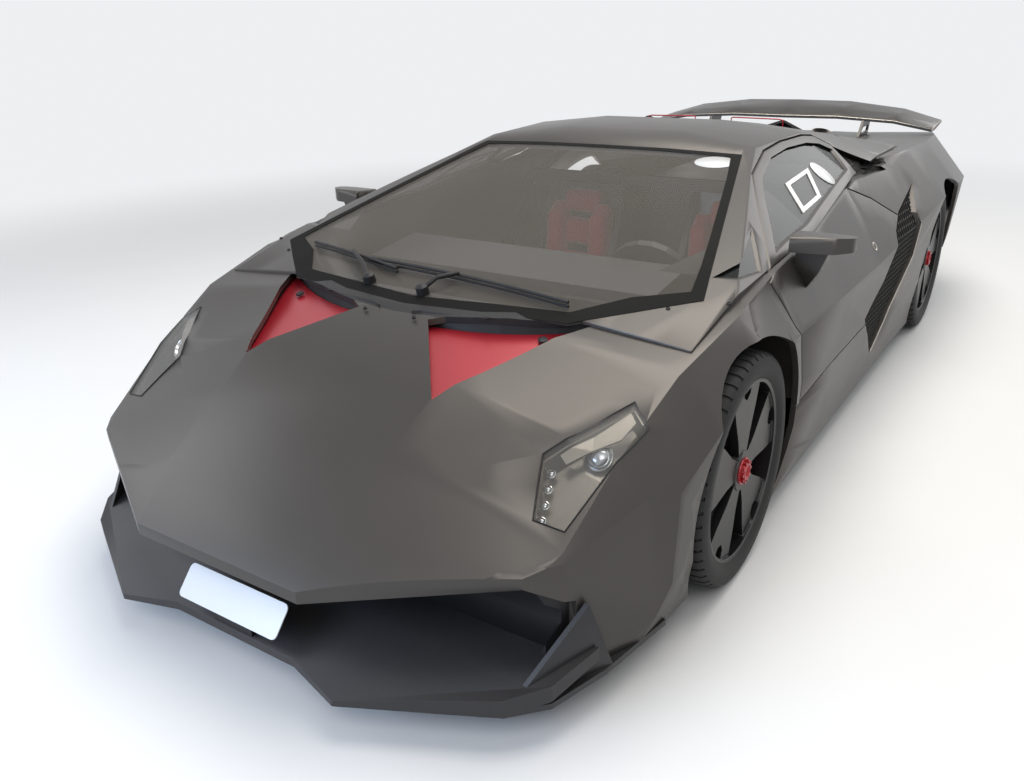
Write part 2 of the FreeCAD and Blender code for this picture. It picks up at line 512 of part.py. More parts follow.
def chassis(body):
    """Tub, engine, seats and controls."""
    parts = {}
    floor = bar(700, FRONT + 420, BULKHEAD_Y + 30, FLOOR_Z, FLOOR_Z + 50)
    sill = box(DOOR_INNER_X, SKIRT_INNER_X - SEAT_GAP, FRONT + 430, BULKHEAD_Y + 30,
               FLOOR_Z, SILL_TOP_Z - 10)
    step = box(700, DOOR_INNER_X, FRONT + 430, BULKHEAD_Y + 30, FLOOR_Z, 205)
    seal = box(SEAL_X, SEAL_X + 20, FRONT + 450, FRONT + 1340, SILL_TOP_Z - 20, DOOR_SIDE[0][1] - RUNNING_GAP)
    pieces = [floor, sill, mirror(sill), step, mirror(step), seal, mirror(seal)]
    pieces += [bar(470, FRONT + 160, FRONT + 190, FLOOR_Z, 700),
               bar(DOOR_INNER_X - 40, BULKHEAD_Y, BULKHEAD_Y + 30, FLOOR_Z, 820),
               bar(470, FRONT - 440 + SEAT_GAP, FRONT + 425, FLOOR_Z, FLOOR_Z + 20),
               bar(110, FRONT + 185, BULKHEAD_Y, 140, 330)]
    for x, y0, y1, z0, z1 in ((310, DUCT_BACK + SEAT_GAP, FRONT + 170, 230, 450),
                              (480, BULKHEAD_Y, REAR + 790, 300, TAIL_BEAM_TOP)):
        rail = box(x - 60, x, y0, y1, z0, z1)
        pieces += [rail, mirror(rail)]
    slope = (DIFFUSER_BACK_Z - DIFFUSER_FRONT_Z) / 290
    beam_z = [DIFFUSER_FRONT_Z + (y - 560) * slope + SEAT_GAP / math.cos(math.atan(slope))
              for y in (700, 790)]
    beam = [(REAR + 700, TAIL_BEAM_TOP), (REAR + 700, beam_z[0]), (REAR + 790, beam_z[1]),
            (REAR + 790, TAIL_BEAM_TOP)]
    pieces += [bar(300, DUCT_BACK + SEAT_GAP, DUCT_BACK + 60, 230, 450), prism_x(beam, -470, 470)]
    parts["carbon_tub"] = union(pieces).cut(body.arches)
    block = bar(330, BULKHEAD_Y + 130, REAR + 140, 240, 740)
    feet = [bar(420 - SEAT_GAP, BULKHEAD_Y + y, BULKHEAD_Y + y + 90, 330, 400) for y in (200, 800)]
    parts["engine"] = union([block] + feet)
    shells, cushions = [], []
    for side in (1, -1):
        x = side * 350
        bucket = prism_x(back(SEAT_SIDE, FRONT), x - 200, x + 200)
        hollow = prism_x([(FRONT + 890, 229.574), (FRONT + 1370, 250), (FRONT + 1470, 800),
                          (FRONT + 1480, 900), (FRONT + 890, 900)], x - 172, x + 172)
        belts = [box(x + side * 85 - 28, x + side * 85 + 28, FRONT + 1300, FRONT + 1600, 690, 722)
                 for side in (1, -1)]
        shells.append(bucket.cut([hollow] + belts))
        pads = ([(910, 230.8), (1330, 248.7), (1330, 320), (910, 290)],
                [(1330.4, 249.1), (1369.2, 250.7), (1464.7, 780), (1420, 780)])
        cushions += [prism_x(back(pad, FRONT), x - 150, x + 150) for pad in pads]
    parts["seat_shells"] = Part.makeCompound(shells)
    parts["seat_cushions"] = Part.makeCompound(cushions)
    dash = prism_x([(FRONT + 190.3, 540), (FRONT + 190.3, 735), (FRONT + 440, 765),
                    (FRONT + 500, 690), (FRONT + 470, 540), (FRONT + 300, 520)], -560, 560)
    column = on_column(rod(v(0, -25, 0), v(0, -190, 0), COLUMN_R))
    parts["dashboard"] = dash.fuse(column)
    ring = [(170 * math.sin(math.radians(a)), 170 * math.cos(math.radians(a)))
            for a in range(-135, 136, 18)]
    wheel = prism_y(ring, -13, 13).cut(prism_y(inset(ring, 26), -20, 20))
    wheel = union([wheel, box(-150, 150, -9, 9, -22, 22), rod(v(0, 13, 0), v(0, -70, 0), 34)])
    parts["steering_wheel"] = on_column(wheel.cut(rod(v(0, -20, 0), v(0, -90, 0),
                                                      COLUMN_R + RUNNING_GAP)))
    return parts


def on_column(shape):
    """A shape built round the y axis, moved to the steering column."""
    shape.rotate(v(0, 0, 0), v(1, 0, 0), COLUMN_TILT)
    shape.translate(v(350, FRONT + 640, 640))
    return shape


def running_gear():
    """Wheels, tyres, uprights and suspension arms."""
    parts = {}
    arms = []
    for end, axle_y, radius, width, face_in in WHEELS:
        outer = HALF - face_in
        inner = outer - width
        middle = (outer + inner) / 2
        profile = [(inner + 12, RIM_R), (outer - 12, RIM_R), (outer - 14, RIM_R - RIM_WALL),
                   (inner + 14, RIM_R - RIM_WALL)]
        axle = v(0, axle_y, radius)
        rim = turned(profile, axle_y, radius)
        plane = outer - SPOKE_DISH - SPOKE_THICK
        spokes = []
        for index in range(SPOKE_COUNT):
            half = [(axle_y + y, radius + z) for y, z in PETAL]
            half += [(axle_y - y, radius + z) for y, z in reversed(PETAL) if y]
            spoke = prism_x(half, plane, plane + SPOKE_THICK)
            spoke.rotate(axle, v(1, 0, 0), 360.0 / SPOKE_COUNT * index)
            spokes.append(spoke)
        hub = disc_x(HUB_R, middle + 20, plane + SPOKE_THICK + 4, axle_y, radius)
        disc = disc_x(DISC_R, middle + 12, middle + 12 + DISC_THICK, axle_y, radius)
        bore = cylinder_x(SPINDLE_R + RUNNING_GAP, middle, plane - 10, axle_y, radius)
        wheel = union([rim, hub, disc] + spokes).cut(bore)
        tyre_profile = [(inner + 12, RIM_R + SEAT_GAP), (inner, radius - TYRE_SHOULDER),
                        (outer, radius - TYRE_SHOULDER), (outer - 12, RIM_R + SEAT_GAP)]
        tyre_profile[2:2] = [(inner + 16, radius), (outer - 16, radius)]
        tyre = turned(tyre_profile, axle_y, radius)
        for side, change in (("left", lambda shape: shape), ("right", mirror)):
            parts["wheel_%s_%s" % (end, side)] = change(wheel)
            parts["tyre_%s_%s" % (end, side)] = change(tyre)
        upright = box(middle - 65, middle - 10, axle_y - 50, axle_y + 50, radius - 75, radius + 75)
        upright = upright.fuse(cylinder_x(SPINDLE_R, middle - 30, plane - 20, axle_y, radius))
        if end == "front":
            pin = Part.makeCylinder(KINGPIN_R, 200, v(KINGPIN_X, axle_y, radius - 100))
            upright = upright.fuse(pin)
            parts["knuckle_left"] = upright
            parts["knuckle_right"] = mirror(upright)
        else:
            parts["rear_uprights"] = both(upright)
        rail_x = 310 if end == "front" else 480
        reach = KINGPIN_X if end == "front" else middle - 65 - SEAT_GAP
        for z in ((radius - 94, radius + 76) if end == "front" else (radius - 40, radius + 50)):
            arm = face([v(rail_x + SEAT_GAP, axle_y - 150, z), v(rail_x + SEAT_GAP, axle_y + 150, z),
                        v(reach, axle_y + 25, z), v(reach, axle_y - 25, z)]).extrude(v(0, 0, 18))
            if end == "front":
                eye = Part.makeCylinder(25, 18, v(KINGPIN_X, axle_y, z))
                hole = Part.makeCylinder(KINGPIN_R + RUNNING_GAP, 60, v(KINGPIN_X, axle_y, z - 20))
                arm = arm.fuse(eye).cut(hole)
            arms.append(arm)
    parts["suspension_arms"] = Part.makeCompound(arms + [mirror(arm) for arm in arms])
    return parts


def main():
    body = Body()
    parts = {}
    parts.update(front_end(body))
    parts.update(glazing_and_doors(body))
    parts.update(rear_end(body))
    parts.update(chassis(body))
    parts.update(running_gear())
    os.makedirs("parts", exist_ok=True)
    for name, shape in parts.items():
        shape.exportStep("parts/" + name + ".step")


main()
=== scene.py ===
"""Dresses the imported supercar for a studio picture: camera, lamps, finishes and fine pieces."""

import json
import logging
import math
from collections.abc import Sequence
from dataclasses import dataclass, field
from enum import Enum

import bpy
import bmesh
from mathutils import Matrix, Vector
from mathutils.bvhtree import BVHTree

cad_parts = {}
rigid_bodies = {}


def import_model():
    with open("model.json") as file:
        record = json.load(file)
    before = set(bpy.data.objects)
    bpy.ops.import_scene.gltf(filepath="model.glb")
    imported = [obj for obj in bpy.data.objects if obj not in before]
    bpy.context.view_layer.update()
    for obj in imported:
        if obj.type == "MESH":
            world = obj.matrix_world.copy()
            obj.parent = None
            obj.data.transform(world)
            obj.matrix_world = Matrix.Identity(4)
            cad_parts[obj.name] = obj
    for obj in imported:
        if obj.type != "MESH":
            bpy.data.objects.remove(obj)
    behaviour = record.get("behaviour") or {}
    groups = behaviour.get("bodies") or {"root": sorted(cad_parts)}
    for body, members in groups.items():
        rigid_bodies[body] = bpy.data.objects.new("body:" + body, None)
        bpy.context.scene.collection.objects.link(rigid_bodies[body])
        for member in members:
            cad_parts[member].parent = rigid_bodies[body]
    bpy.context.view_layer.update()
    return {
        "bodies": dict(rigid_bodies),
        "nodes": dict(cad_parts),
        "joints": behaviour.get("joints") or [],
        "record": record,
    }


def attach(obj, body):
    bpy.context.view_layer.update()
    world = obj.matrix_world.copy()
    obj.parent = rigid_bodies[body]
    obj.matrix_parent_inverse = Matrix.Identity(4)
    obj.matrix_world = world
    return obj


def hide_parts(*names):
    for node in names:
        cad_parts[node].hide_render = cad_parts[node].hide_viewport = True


log = logging.getLogger("supercar")
Colour = tuple[float, float, float]
Point = tuple[float, float, float]
Section = Sequence[tuple[float, float]]
ORIGIN: Point = (0.0, 0.0, 0.0)
SIDES = (("left", 1), ("right", -1))


@dataclass(frozen=True)
class Axle:
    """One end's wheels: where they stand and how large they are, in metres."""

    end: str
    along: float
    radius: float
    middle: float
    width: float
    hub_face: float
    disc: tuple[float, float]


FRONT = Axle("front", -1.2, 0.338, 0.8255, 0.245, 0.930, (0.8375, 0.8675))
REAR = Axle("rear", 1.36, 0.346, 0.8225, 0.305, 0.957, (0.8345, 0.8645))
AXLES = (FRONT, REAR)


class Weave(Enum):
    """How strongly the twill of a carbon panel shows."""

    NONE = 0.0
    FAINT = 0.35
    BARE = 1.0


def put(name: str, data: bpy.types.ID) -> bpy.types.Object:
    """Makes an object and links it to the scene.

    Args:
        name: The object's name.
        data: Its mesh, curve, lamp or camera.

    Returns:
        The object.
    """
    thing = bpy.data.objects.new(name, data)
    bpy.context.scene.collection.objects.link(thing)
    return thing


def mirrored(point: Point, sign: int) -> Point:
    """The point itself for sign 1, and its twin on the car's right for -1."""
    return (sign * point[0], point[1], point[2])


def between(first: tuple, last: tuple, share: float) -> tuple:
    """The point at a share of the way from one point to another."""
    return tuple(a + (b - a) * share for a, b in zip(first, last))


class Graph:
    """A node tree that is written in short lines."""

    # the colour sockets of a Mix node
    FIRST, SECOND, MIXED = 6, 7, 2

    def __init__(self, tree: bpy.types.NodeTree) -> None:
        """Keeps the tree.

        Args:
            tree: The material's, world's or group's tree.
        """
        self.tree = tree

    def add(self, kind: str, settings: dict | None = None, **inputs: object) -> bpy.types.Node:
        """Adds a node, sets its options and feeds its inputs.

        Args:
            kind: The node's type name.
            settings: Options by attribute name.
            **inputs: Values or sockets by input name, with underscores for spaces.

        Returns:
            The new node.
        """
        node = self.tree.nodes.new(kind)
        for name, value in (settings or {}).items():
            setattr(node, name, value)
        for name, value in inputs.items():
            self.feed(node.inputs[name.replace("_", " ")], value)
        return node

    def feed(self, socket: bpy.types.NodeSocket, value: object) -> None:
        """Links a socket, or sets a plain value.

        Args:
            socket: The input to feed.
            value: Another node's output, or a value.
        """
        if isinstance(value, bpy.types.NodeSocket):
            self.tree.links.new(value, socket)
        else:
            socket.default_value = value

    def math(self, operation: str, first: object, second: object = 0.0) -> bpy.types.NodeSocket:
        """Adds a Math node.

        Args:
            operation: Blender's name for the operation.
            first: The first value or socket.
            second: The second value or socket.

        Returns:
            The result's socket.
        """
        node = self.tree.nodes.new("ShaderNodeMath")
        node.operation = operation
        self.feed(node.inputs[0], first)
        self.feed(node.inputs[1], second)
        return node.outputs[0]

    def mix(self, factor: object, first: object, second: object) -> bpy.types.NodeSocket:
        """Mixes two colours.

        Args:
            factor: 0 gives the first colour and 1 the second.
            first: A colour or socket.
            second: A colour or socket.

        Returns:
            The mixed colour's socket.
        """
        node = self.tree.nodes.new("ShaderNodeMix")
        node.data_type = "RGBA"
        self.feed(node.inputs[0], factor)
        for socket, colour in ((self.FIRST, first), (self.SECOND, second)):
            linked = isinstance(colour, bpy.types.NodeSocket)
            self.feed(node.inputs[socket], colour if linked else (*colour, 1.0))
        return node.outputs[self.MIXED]

    def spread(self, value: object, low: float, high: float) -> bpy.types.NodeSocket:
        """Maps a value of 0 to 1 onto another range.

        Args:
            value: The value or socket.
            low: The result at 0.
            high: The result at 1.

        Returns:
            The mapped value's socket.
        """
        node = self.add("ShaderNodeMapRange", Value=value, To_Min=low, To_Max=high)
        return node.outputs[0]

    def group(self, tree: bpy.types.NodeTree, **inputs: object) -> bpy.types.Node:
        """Places a shader group.

        Args:
            tree: The group's tree.
            **inputs: Values or sockets by input name.

        Returns:
            The group's node.
        """
        return self.add("ShaderNodeGroup", {"node_tree": tree}, **inputs)


class Effects:
    """Shader groups that several finishes share."""

    # how far the twill leans with height, and the shares of its ribs and tows
    LEAN = 0.6
    RIB = 0.36
    TOW = 0.14
    TWILL_HEIGHT = 0.5
    # the broad unevenness' scale, as a share of the fine one's
    BROAD = 0.012
    SPECKS = 38.0

    def __init__(self) -> None:
        """Builds each group once."""
        self.twill = self.make_twill()
        self.grain = self.make_grain()
        self.dust = self.make_dust()

    def shell(self, name: str, inputs: dict[str, float], outputs: tuple[str, ...]) -> Graph:
        """Starts a group with its sockets.

        Args:
            name: The group's name.
            inputs: Each input's name and usual value.
            outputs: The outputs' names.

        Returns:
            The group's graph, with its input and output nodes.
        """
        tree = bpy.data.node_groups.new(name, "ShaderNodeTree")
        for label, value in inputs.items():
            socket = tree.interface.new_socket(label, in_out="INPUT", socket_type="NodeSocketFloat")
            socket.default_value = value
        for label in outputs:
            tree.interface.new_socket(label, in_out="OUTPUT", socket_type="NodeSocketFloat")
        tree.nodes.new("NodeGroupInput")
        tree.nodes.new("NodeGroupOutput")
        return Graph(tree)

    def ends(self, graph: Graph) -> tuple[bpy.types.Node, bpy.types.Node]:
        """The group's input and output nodes."""
        return graph.tree.nodes["Group Input"], graph.tree.nodes["Group Output"]

    def make_twill(self) -> bpy.types.NodeTree:
        """Diagonal ribs of woven carbon, in object space.

        Returns:
            A group that gives Mask and Height for a Pitch in metres.
        """
        graph = self.shell("carbon twill", {"Pitch": 0.004}, ("Mask", "Height"))
        start, end = self.ends(graph)
        place = graph.add("ShaderNodeTexCoord").outputs["Object"]
        split = graph.add("ShaderNodeSeparateXYZ", Vector=place)
        pitch = start.outputs["Pitch"]
        lean = graph.math("MULTIPLY", split.outputs["Z"], self.LEAN)
        across = graph.math("DIVIDE", graph.math("ADD", split.outputs["X"], lean), pitch)
        along = graph.math("DIVIDE", graph.math("SUBTRACT", split.outputs["Y"], lean), pitch)
        waves = []
        for way, turn, share in (("ADD", math.pi, self.RIB), ("SUBTRACT", math.tau, self.TOW)):
            phase = graph.math("MULTIPLY", graph.math(way, across, along), turn)
            waves.append(graph.math("MULTIPLY", graph.math("SINE", phase), share))
        mask = graph.math("ADD", graph.math("ADD", *waves), 0.5)
        graph.feed(end.inputs["Mask"], mask)
        graph.feed(end.inputs["Height"], graph.math("MULTIPLY", mask, self.TWILL_HEIGHT))
        return graph.tree

    def make_grain(self) -> bpy.types.NodeTree:
        """Fine and broad unevenness of a surface.

        Returns:
            A group that gives Fine and Broad, each about 0 to 1, for a Scale.
        """
        graph = self.shell("surface grain", {"Scale": 300.0}, ("Fine", "Broad"))
        start, end = self.ends(graph)
        place = graph.add("ShaderNodeTexCoord").outputs["Object"]
        scale = start.outputs["Scale"]
        fine = graph.add("ShaderNodeTexNoise", Vector=place, Scale=scale, Detail=3.0)
        broad = graph.add("ShaderNodeTexNoise", Vector=place, Detail=4.0,
                          Scale=graph.math("MULTIPLY", scale, self.BROAD))
        graph.feed(end.inputs["Fine"], fine.outputs[0])
        graph.feed(end.inputs["Broad"], broad.outputs[0])
        return graph.tree

    def make_dust(self) -> bpy.types.NodeTree:
        """Road dust that fades out above the ground.

        Returns:
            A group that gives Mask for a Height in metres.
        """
        graph = self.shell("road dust", {"Height": 0.35}, ("Mask",))
        start, end = self.ends(graph)
        place = graph.add("ShaderNodeTexCoord").outputs["Object"]
        split = graph.add("ShaderNodeSeparateXYZ", Vector=place)
        level = graph.math("DIVIDE", split.outputs["Z"], start.outputs["Height"])
        fade = graph.add("ShaderNodeMapRange", Value=level, To_Min=1.0, To_Max=0.0).outputs[0]
        speck = graph.add("ShaderNodeTexNoise", Vector=place, Scale=self.SPECKS, Detail=6.0)
        graph.feed(end.inputs["Mask"], graph.math("MULTIPLY", fade, speck.outputs[0]))
        return graph.tree


@dataclass(frozen=True)
class Finish:
    """An opaque surface: its tint, sheen, grain and weave."""

    # how far a full weave lightens the tint and its ribs, and how much grain it leaves
    WEAVE_SHARE = 0.45
    WEAVE_GLOSS = 1.6
    WEAVE_GRAIN = 0.3
    DUST_TINT = (0.34, 0.31, 0.27)
    DUST_ROUGH = 0.9
    COAT_ROUGH = 0.25
    RELIEF = 0.0006

    name: str
    colour: Colour
    rough: float
    metallic: float = 0.0
    coat: float = 0.0
    sheen: float = 0.0
    weave: Weave = Weave.NONE
    pitch: float = 0.004
    grain_scale: float = 300.0
    uneven: float = 0.06
    shade: float = 0.12
    bump: float = 0.08
    dust: float = 0.0
    dust_height: float = 0.35
    specular: float = 0.5

    def build(self, effects: Effects) -> bpy.types.Material:
        """Makes the material.

        Args:
            effects: The shared shader groups.

        Returns:
            The finished material.
        """
        material = bpy.data.materials.new(self.name)
        material.use_nodes = True
        graph = Graph(material.node_tree)
        shader = material.node_tree.nodes["Principled BSDF"]
        grain = graph.group(effects.grain, Scale=self.grain_scale)
        darker = tuple(c * (1 - self.shade) for c in self.colour)
        lighter = tuple(min(1.0, c * (1 + self.shade)) for c in self.colour)
        tint = graph.mix(grain.outputs["Broad"], darker, lighter)
        height = grain.outputs["Fine"]
        rough = graph.spread(grain.outputs["Broad"], self.rough - self.uneven,
                             self.rough + self.uneven)
        if self.weave is not Weave.NONE:
            twill = graph.group(effects.twill, Pitch=self.pitch)
            strength = self.WEAVE_SHARE * self.weave.value
            gloss = tuple(min(1.0, c * (1 + self.WEAVE_GLOSS * strength)) for c in self.colour)
            share = graph.math("MULTIPLY", twill.outputs["Mask"], strength)
            tint = graph.mix(share, tint, gloss)
            height = graph.math("ADD", graph.math("MULTIPLY", height, self.WEAVE_GRAIN),
                                twill.outputs["Height"])
        if self.dust:
            mask = graph.group(effects.dust, Height=self.dust_height).outputs["Mask"]
            share = graph.math("MULTIPLY", mask, self.dust)
            tint = graph.mix(share, tint, self.DUST_TINT)
            rough = graph.math("MAXIMUM", rough, graph.math("MULTIPLY", share, self.DUST_ROUGH))
        graph.feed(shader.inputs["Base Color"], tint)
        graph.feed(shader.inputs["Roughness"], rough)
        for socket, value in (("Metallic", self.metallic), ("Coat Weight", self.coat),
                              ("Coat Roughness", self.COAT_ROUGH), ("Sheen Weight", self.sheen),
                              ("Specular IOR Level", self.specular)):
            shader.inputs[socket].default_value = value
        bump = graph.add("ShaderNodeBump", Height=height, Strength=self.bump,
                         Distance=self.RELIEF)
        graph.feed(shader.inputs["Normal"], bump.outputs[0])
        return material


@dataclass(frozen=True)
class Glass:
    """A thin pane, see-through without bending light, and less so at a slant."""

    SMEAR_SCALE = 260.0
    SMEAR_ROUGH = 0.05
    SMEAR_ALPHA = 0.04
    EDGE_BLEND = 0.35

    name: str
    colour: Colour
    rough: float
    clear: float
    edge: float = 0.4
    specular: float = 0.5

    def build(self, effects: Effects) -> bpy.types.Material:
        """Makes the material.

        Args:
            effects: The shared shader groups.

        Returns:
            The finished material.
        """
        material = bpy.data.materials.new(self.name)
        material.use_nodes = True
        material.surface_render_method = "BLENDED"
        graph = Graph(material.node_tree)
        shader = material.node_tree.nodes["Principled BSDF"]
        smear = graph.group(effects.grain, Scale=self.SMEAR_SCALE).outputs["Broad"]
        shader.inputs["Base Color"].default_value = (*self.colour, 1.0)
        shader.inputs["Specular IOR Level"].default_value = self.specular
        rough = graph.spread(smear, self.rough, self.rough + self.SMEAR_ROUGH)
        graph.feed(shader.inputs["Roughness"], rough)
        edge = graph.add("ShaderNodeLayerWeight", Blend=self.EDGE_BLEND).outputs["Facing"]
        low = 1.0 - self.clear
        alpha = graph.spread(edge, low, min(1.0, low + self.edge))
        haze = graph.math("MULTIPLY", smear, self.SMEAR_ALPHA)
        graph.feed(shader.inputs["Alpha"], graph.math("ADD", alpha, haze))
        return material


class Palette:
    """Every finish of the car: one for each slot of the record, and looks for fine pieces."""

    def __init__(self, effects: Effects) -> None:
        """Builds the materials.

        Args:
            effects: The shared shader groups.
        """
        carbon = (0.068, 0.063, 0.059)
        black = (0.010, 0.010, 0.011)
        red = (0.30, 0.012, 0.022)
        self.finishes = {slot: finish.build(effects) for slot, finish in {
            "matte_carbon": Finish("matte carbon body", carbon, 0.36, metallic=0.75,
                                   weave=Weave.FAINT, pitch=0.003, uneven=0.04, shade=0.07,
                                   bump=0.05, dust=0.03, dust_height=0.4),
            "bare_carbon": Finish("bare satin carbon", (0.020, 0.020, 0.022), 0.42,
                                  metallic=0.3, weave=Weave.BARE, bump=0.10, dust=0.03),
            "black_plastic": Finish("black moulding", black, 0.5, bump=0.15, specular=0.3),
            "black_mesh": Finish("black backing", (0.003, 0.003, 0.003), 0.7, bump=0.1,
                                 specular=0.1),
            "engine_alloy": Finish("cast engine alloy", (0.30, 0.30, 0.31), 0.5, metallic=0.9,
                                   bump=0.4),
            "exhaust_metal": Finish("heat tinted steel", (0.42, 0.36, 0.30), 0.32,
                                    metallic=1.0, shade=0.3),
            "lamp_reflector": Finish("lamp interior", (0.17, 0.155, 0.13), 0.3, metallic=0.6,
                                     shade=0.2),
            "clear_glass": Glass("lamp cover", (0.35, 0.34, 0.32), 0.03, clear=0.95, edge=0.22),
            "tinted_glass": Glass("smoked window", (0.010, 0.011, 0.011), 0.02, clear=0.42,
                                  edge=0.2, specular=0.15),
            "white_plate": Finish("blank plate", (0.66, 0.68, 0.70), 0.3, coat=0.4, shade=0.03),
            "suspension_alloy": Finish("machined alloy", (0.20, 0.20, 0.21), 0.4, metallic=0.9,
                                       dust=0.1),
            "red_satin": Finish("red satin panel", red, 0.36, metallic=0.35,
                                weave=Weave.FAINT, coat=0.25),
            "red_fabric": Finish("red suede", red, 0.85, sheen=0.4, bump=0.5,
                                 grain_scale=900.0),
            "red_lens": Finish("red lens", (0.42, 0.01, 0.015), 0.12, coat=1.0),
            "tyre_rubber": Finish("tyre rubber", (0.016, 0.016, 0.017), 0.66, bump=0.5,
                                  dust=0.05, dust_height=0.8, specular=0.25),
            "black_wheel": Finish("black satin wheel", black, 0.30, weave=Weave.FAINT,
                                  specular=0.2),
            "windscreen": Glass("windscreen", (0.27, 0.25, 0.22), 0.02, clear=0.93,
                                edge=0.12, specular=0.3),
            "dark_glass": Glass("dark quarter glass", (0.008, 0.009, 0.009), 0.02, clear=0.2,
                                edge=0.2, specular=0.15),
            # painted highlights: the pale colours of the narrow faces along sharp edges stand for
            # light catching the edges
            "edge": Finish("pale painted edge highlight", (0.42, 0.39, 0.35), 0.3, metallic=0.3),
            "black_edge_highlight": Finish("painted highlight on black edges", (0.10, 0.10, 0.10), 0.3, metallic=0.3),
            "red_edge": Finish("red trim", (0.34, 0.012, 0.02), 0.35, metallic=0.3, coat=0.2),
            "wire": Finish("honeycomb wire", (0.030, 0.029, 0.028), 0.4, metallic=0.5),
            "lamp_glass": Finish("projector lens", (0.30, 0.32, 0.34), 0.05, metallic=0.7,
                                 coat=1.0),
            "chrome": Finish("bright ring", (0.55, 0.55, 0.54), 0.15, metallic=1.0),
            "acrylic": Finish("frosted acrylic", (0.42, 0.42, 0.41), 0.25, coat=0.5),
        }.items()}

    def dress(self, piece: bpy.types.Object, look: str) -> None:
        """Gives a piece one finish, named by its slot or look."""
        piece.data.materials.clear()
        piece.data.materials.append(self.finishes[look])


@dataclass
class PhotoCamera:
    """The camera at the photograph's angle."""

    place: Vector = field(default_factory=lambda: Vector((1.6022, -3.3248, 1.5147)))
    azimuth: float = 0.59435
    drop: float = 0.40337
    roll: float = -0.03317
    focal_pixels: float = 875.7
    frame_width: float = 1024.0
    sensor_width: float = 36.0

    def build(self) -> bpy.types.Object:
        """Adds the camera and makes it the scene's.

        Returns:
            The camera object.
        """
        level_share = math.cos(self.drop)
        back = Vector((math.sin(self.azimuth) * level_share,
                       -math.cos(self.azimuth) * level_share, math.sin(self.drop)))
        level = Vector((0, 0, 1)).cross(back).normalized()
        rise = back.cross(level)
        right = math.cos(self.roll) * level + math.sin(self.roll) * rise
        up = math.cos(self.roll) * rise - math.sin(self.roll) * level
        data = bpy.data.cameras.new("photo camera")
        data.sensor_width = self.sensor_width
        data.lens = self.sensor_width * self.focal_pixels / self.frame_width
        camera = put("photo camera", data)
        turn = Matrix((right, up, back)).transposed().to_4x4()
        camera.matrix_world = Matrix.Translation(self.place) @ turn
        bpy.context.scene.camera = camera
        return camera


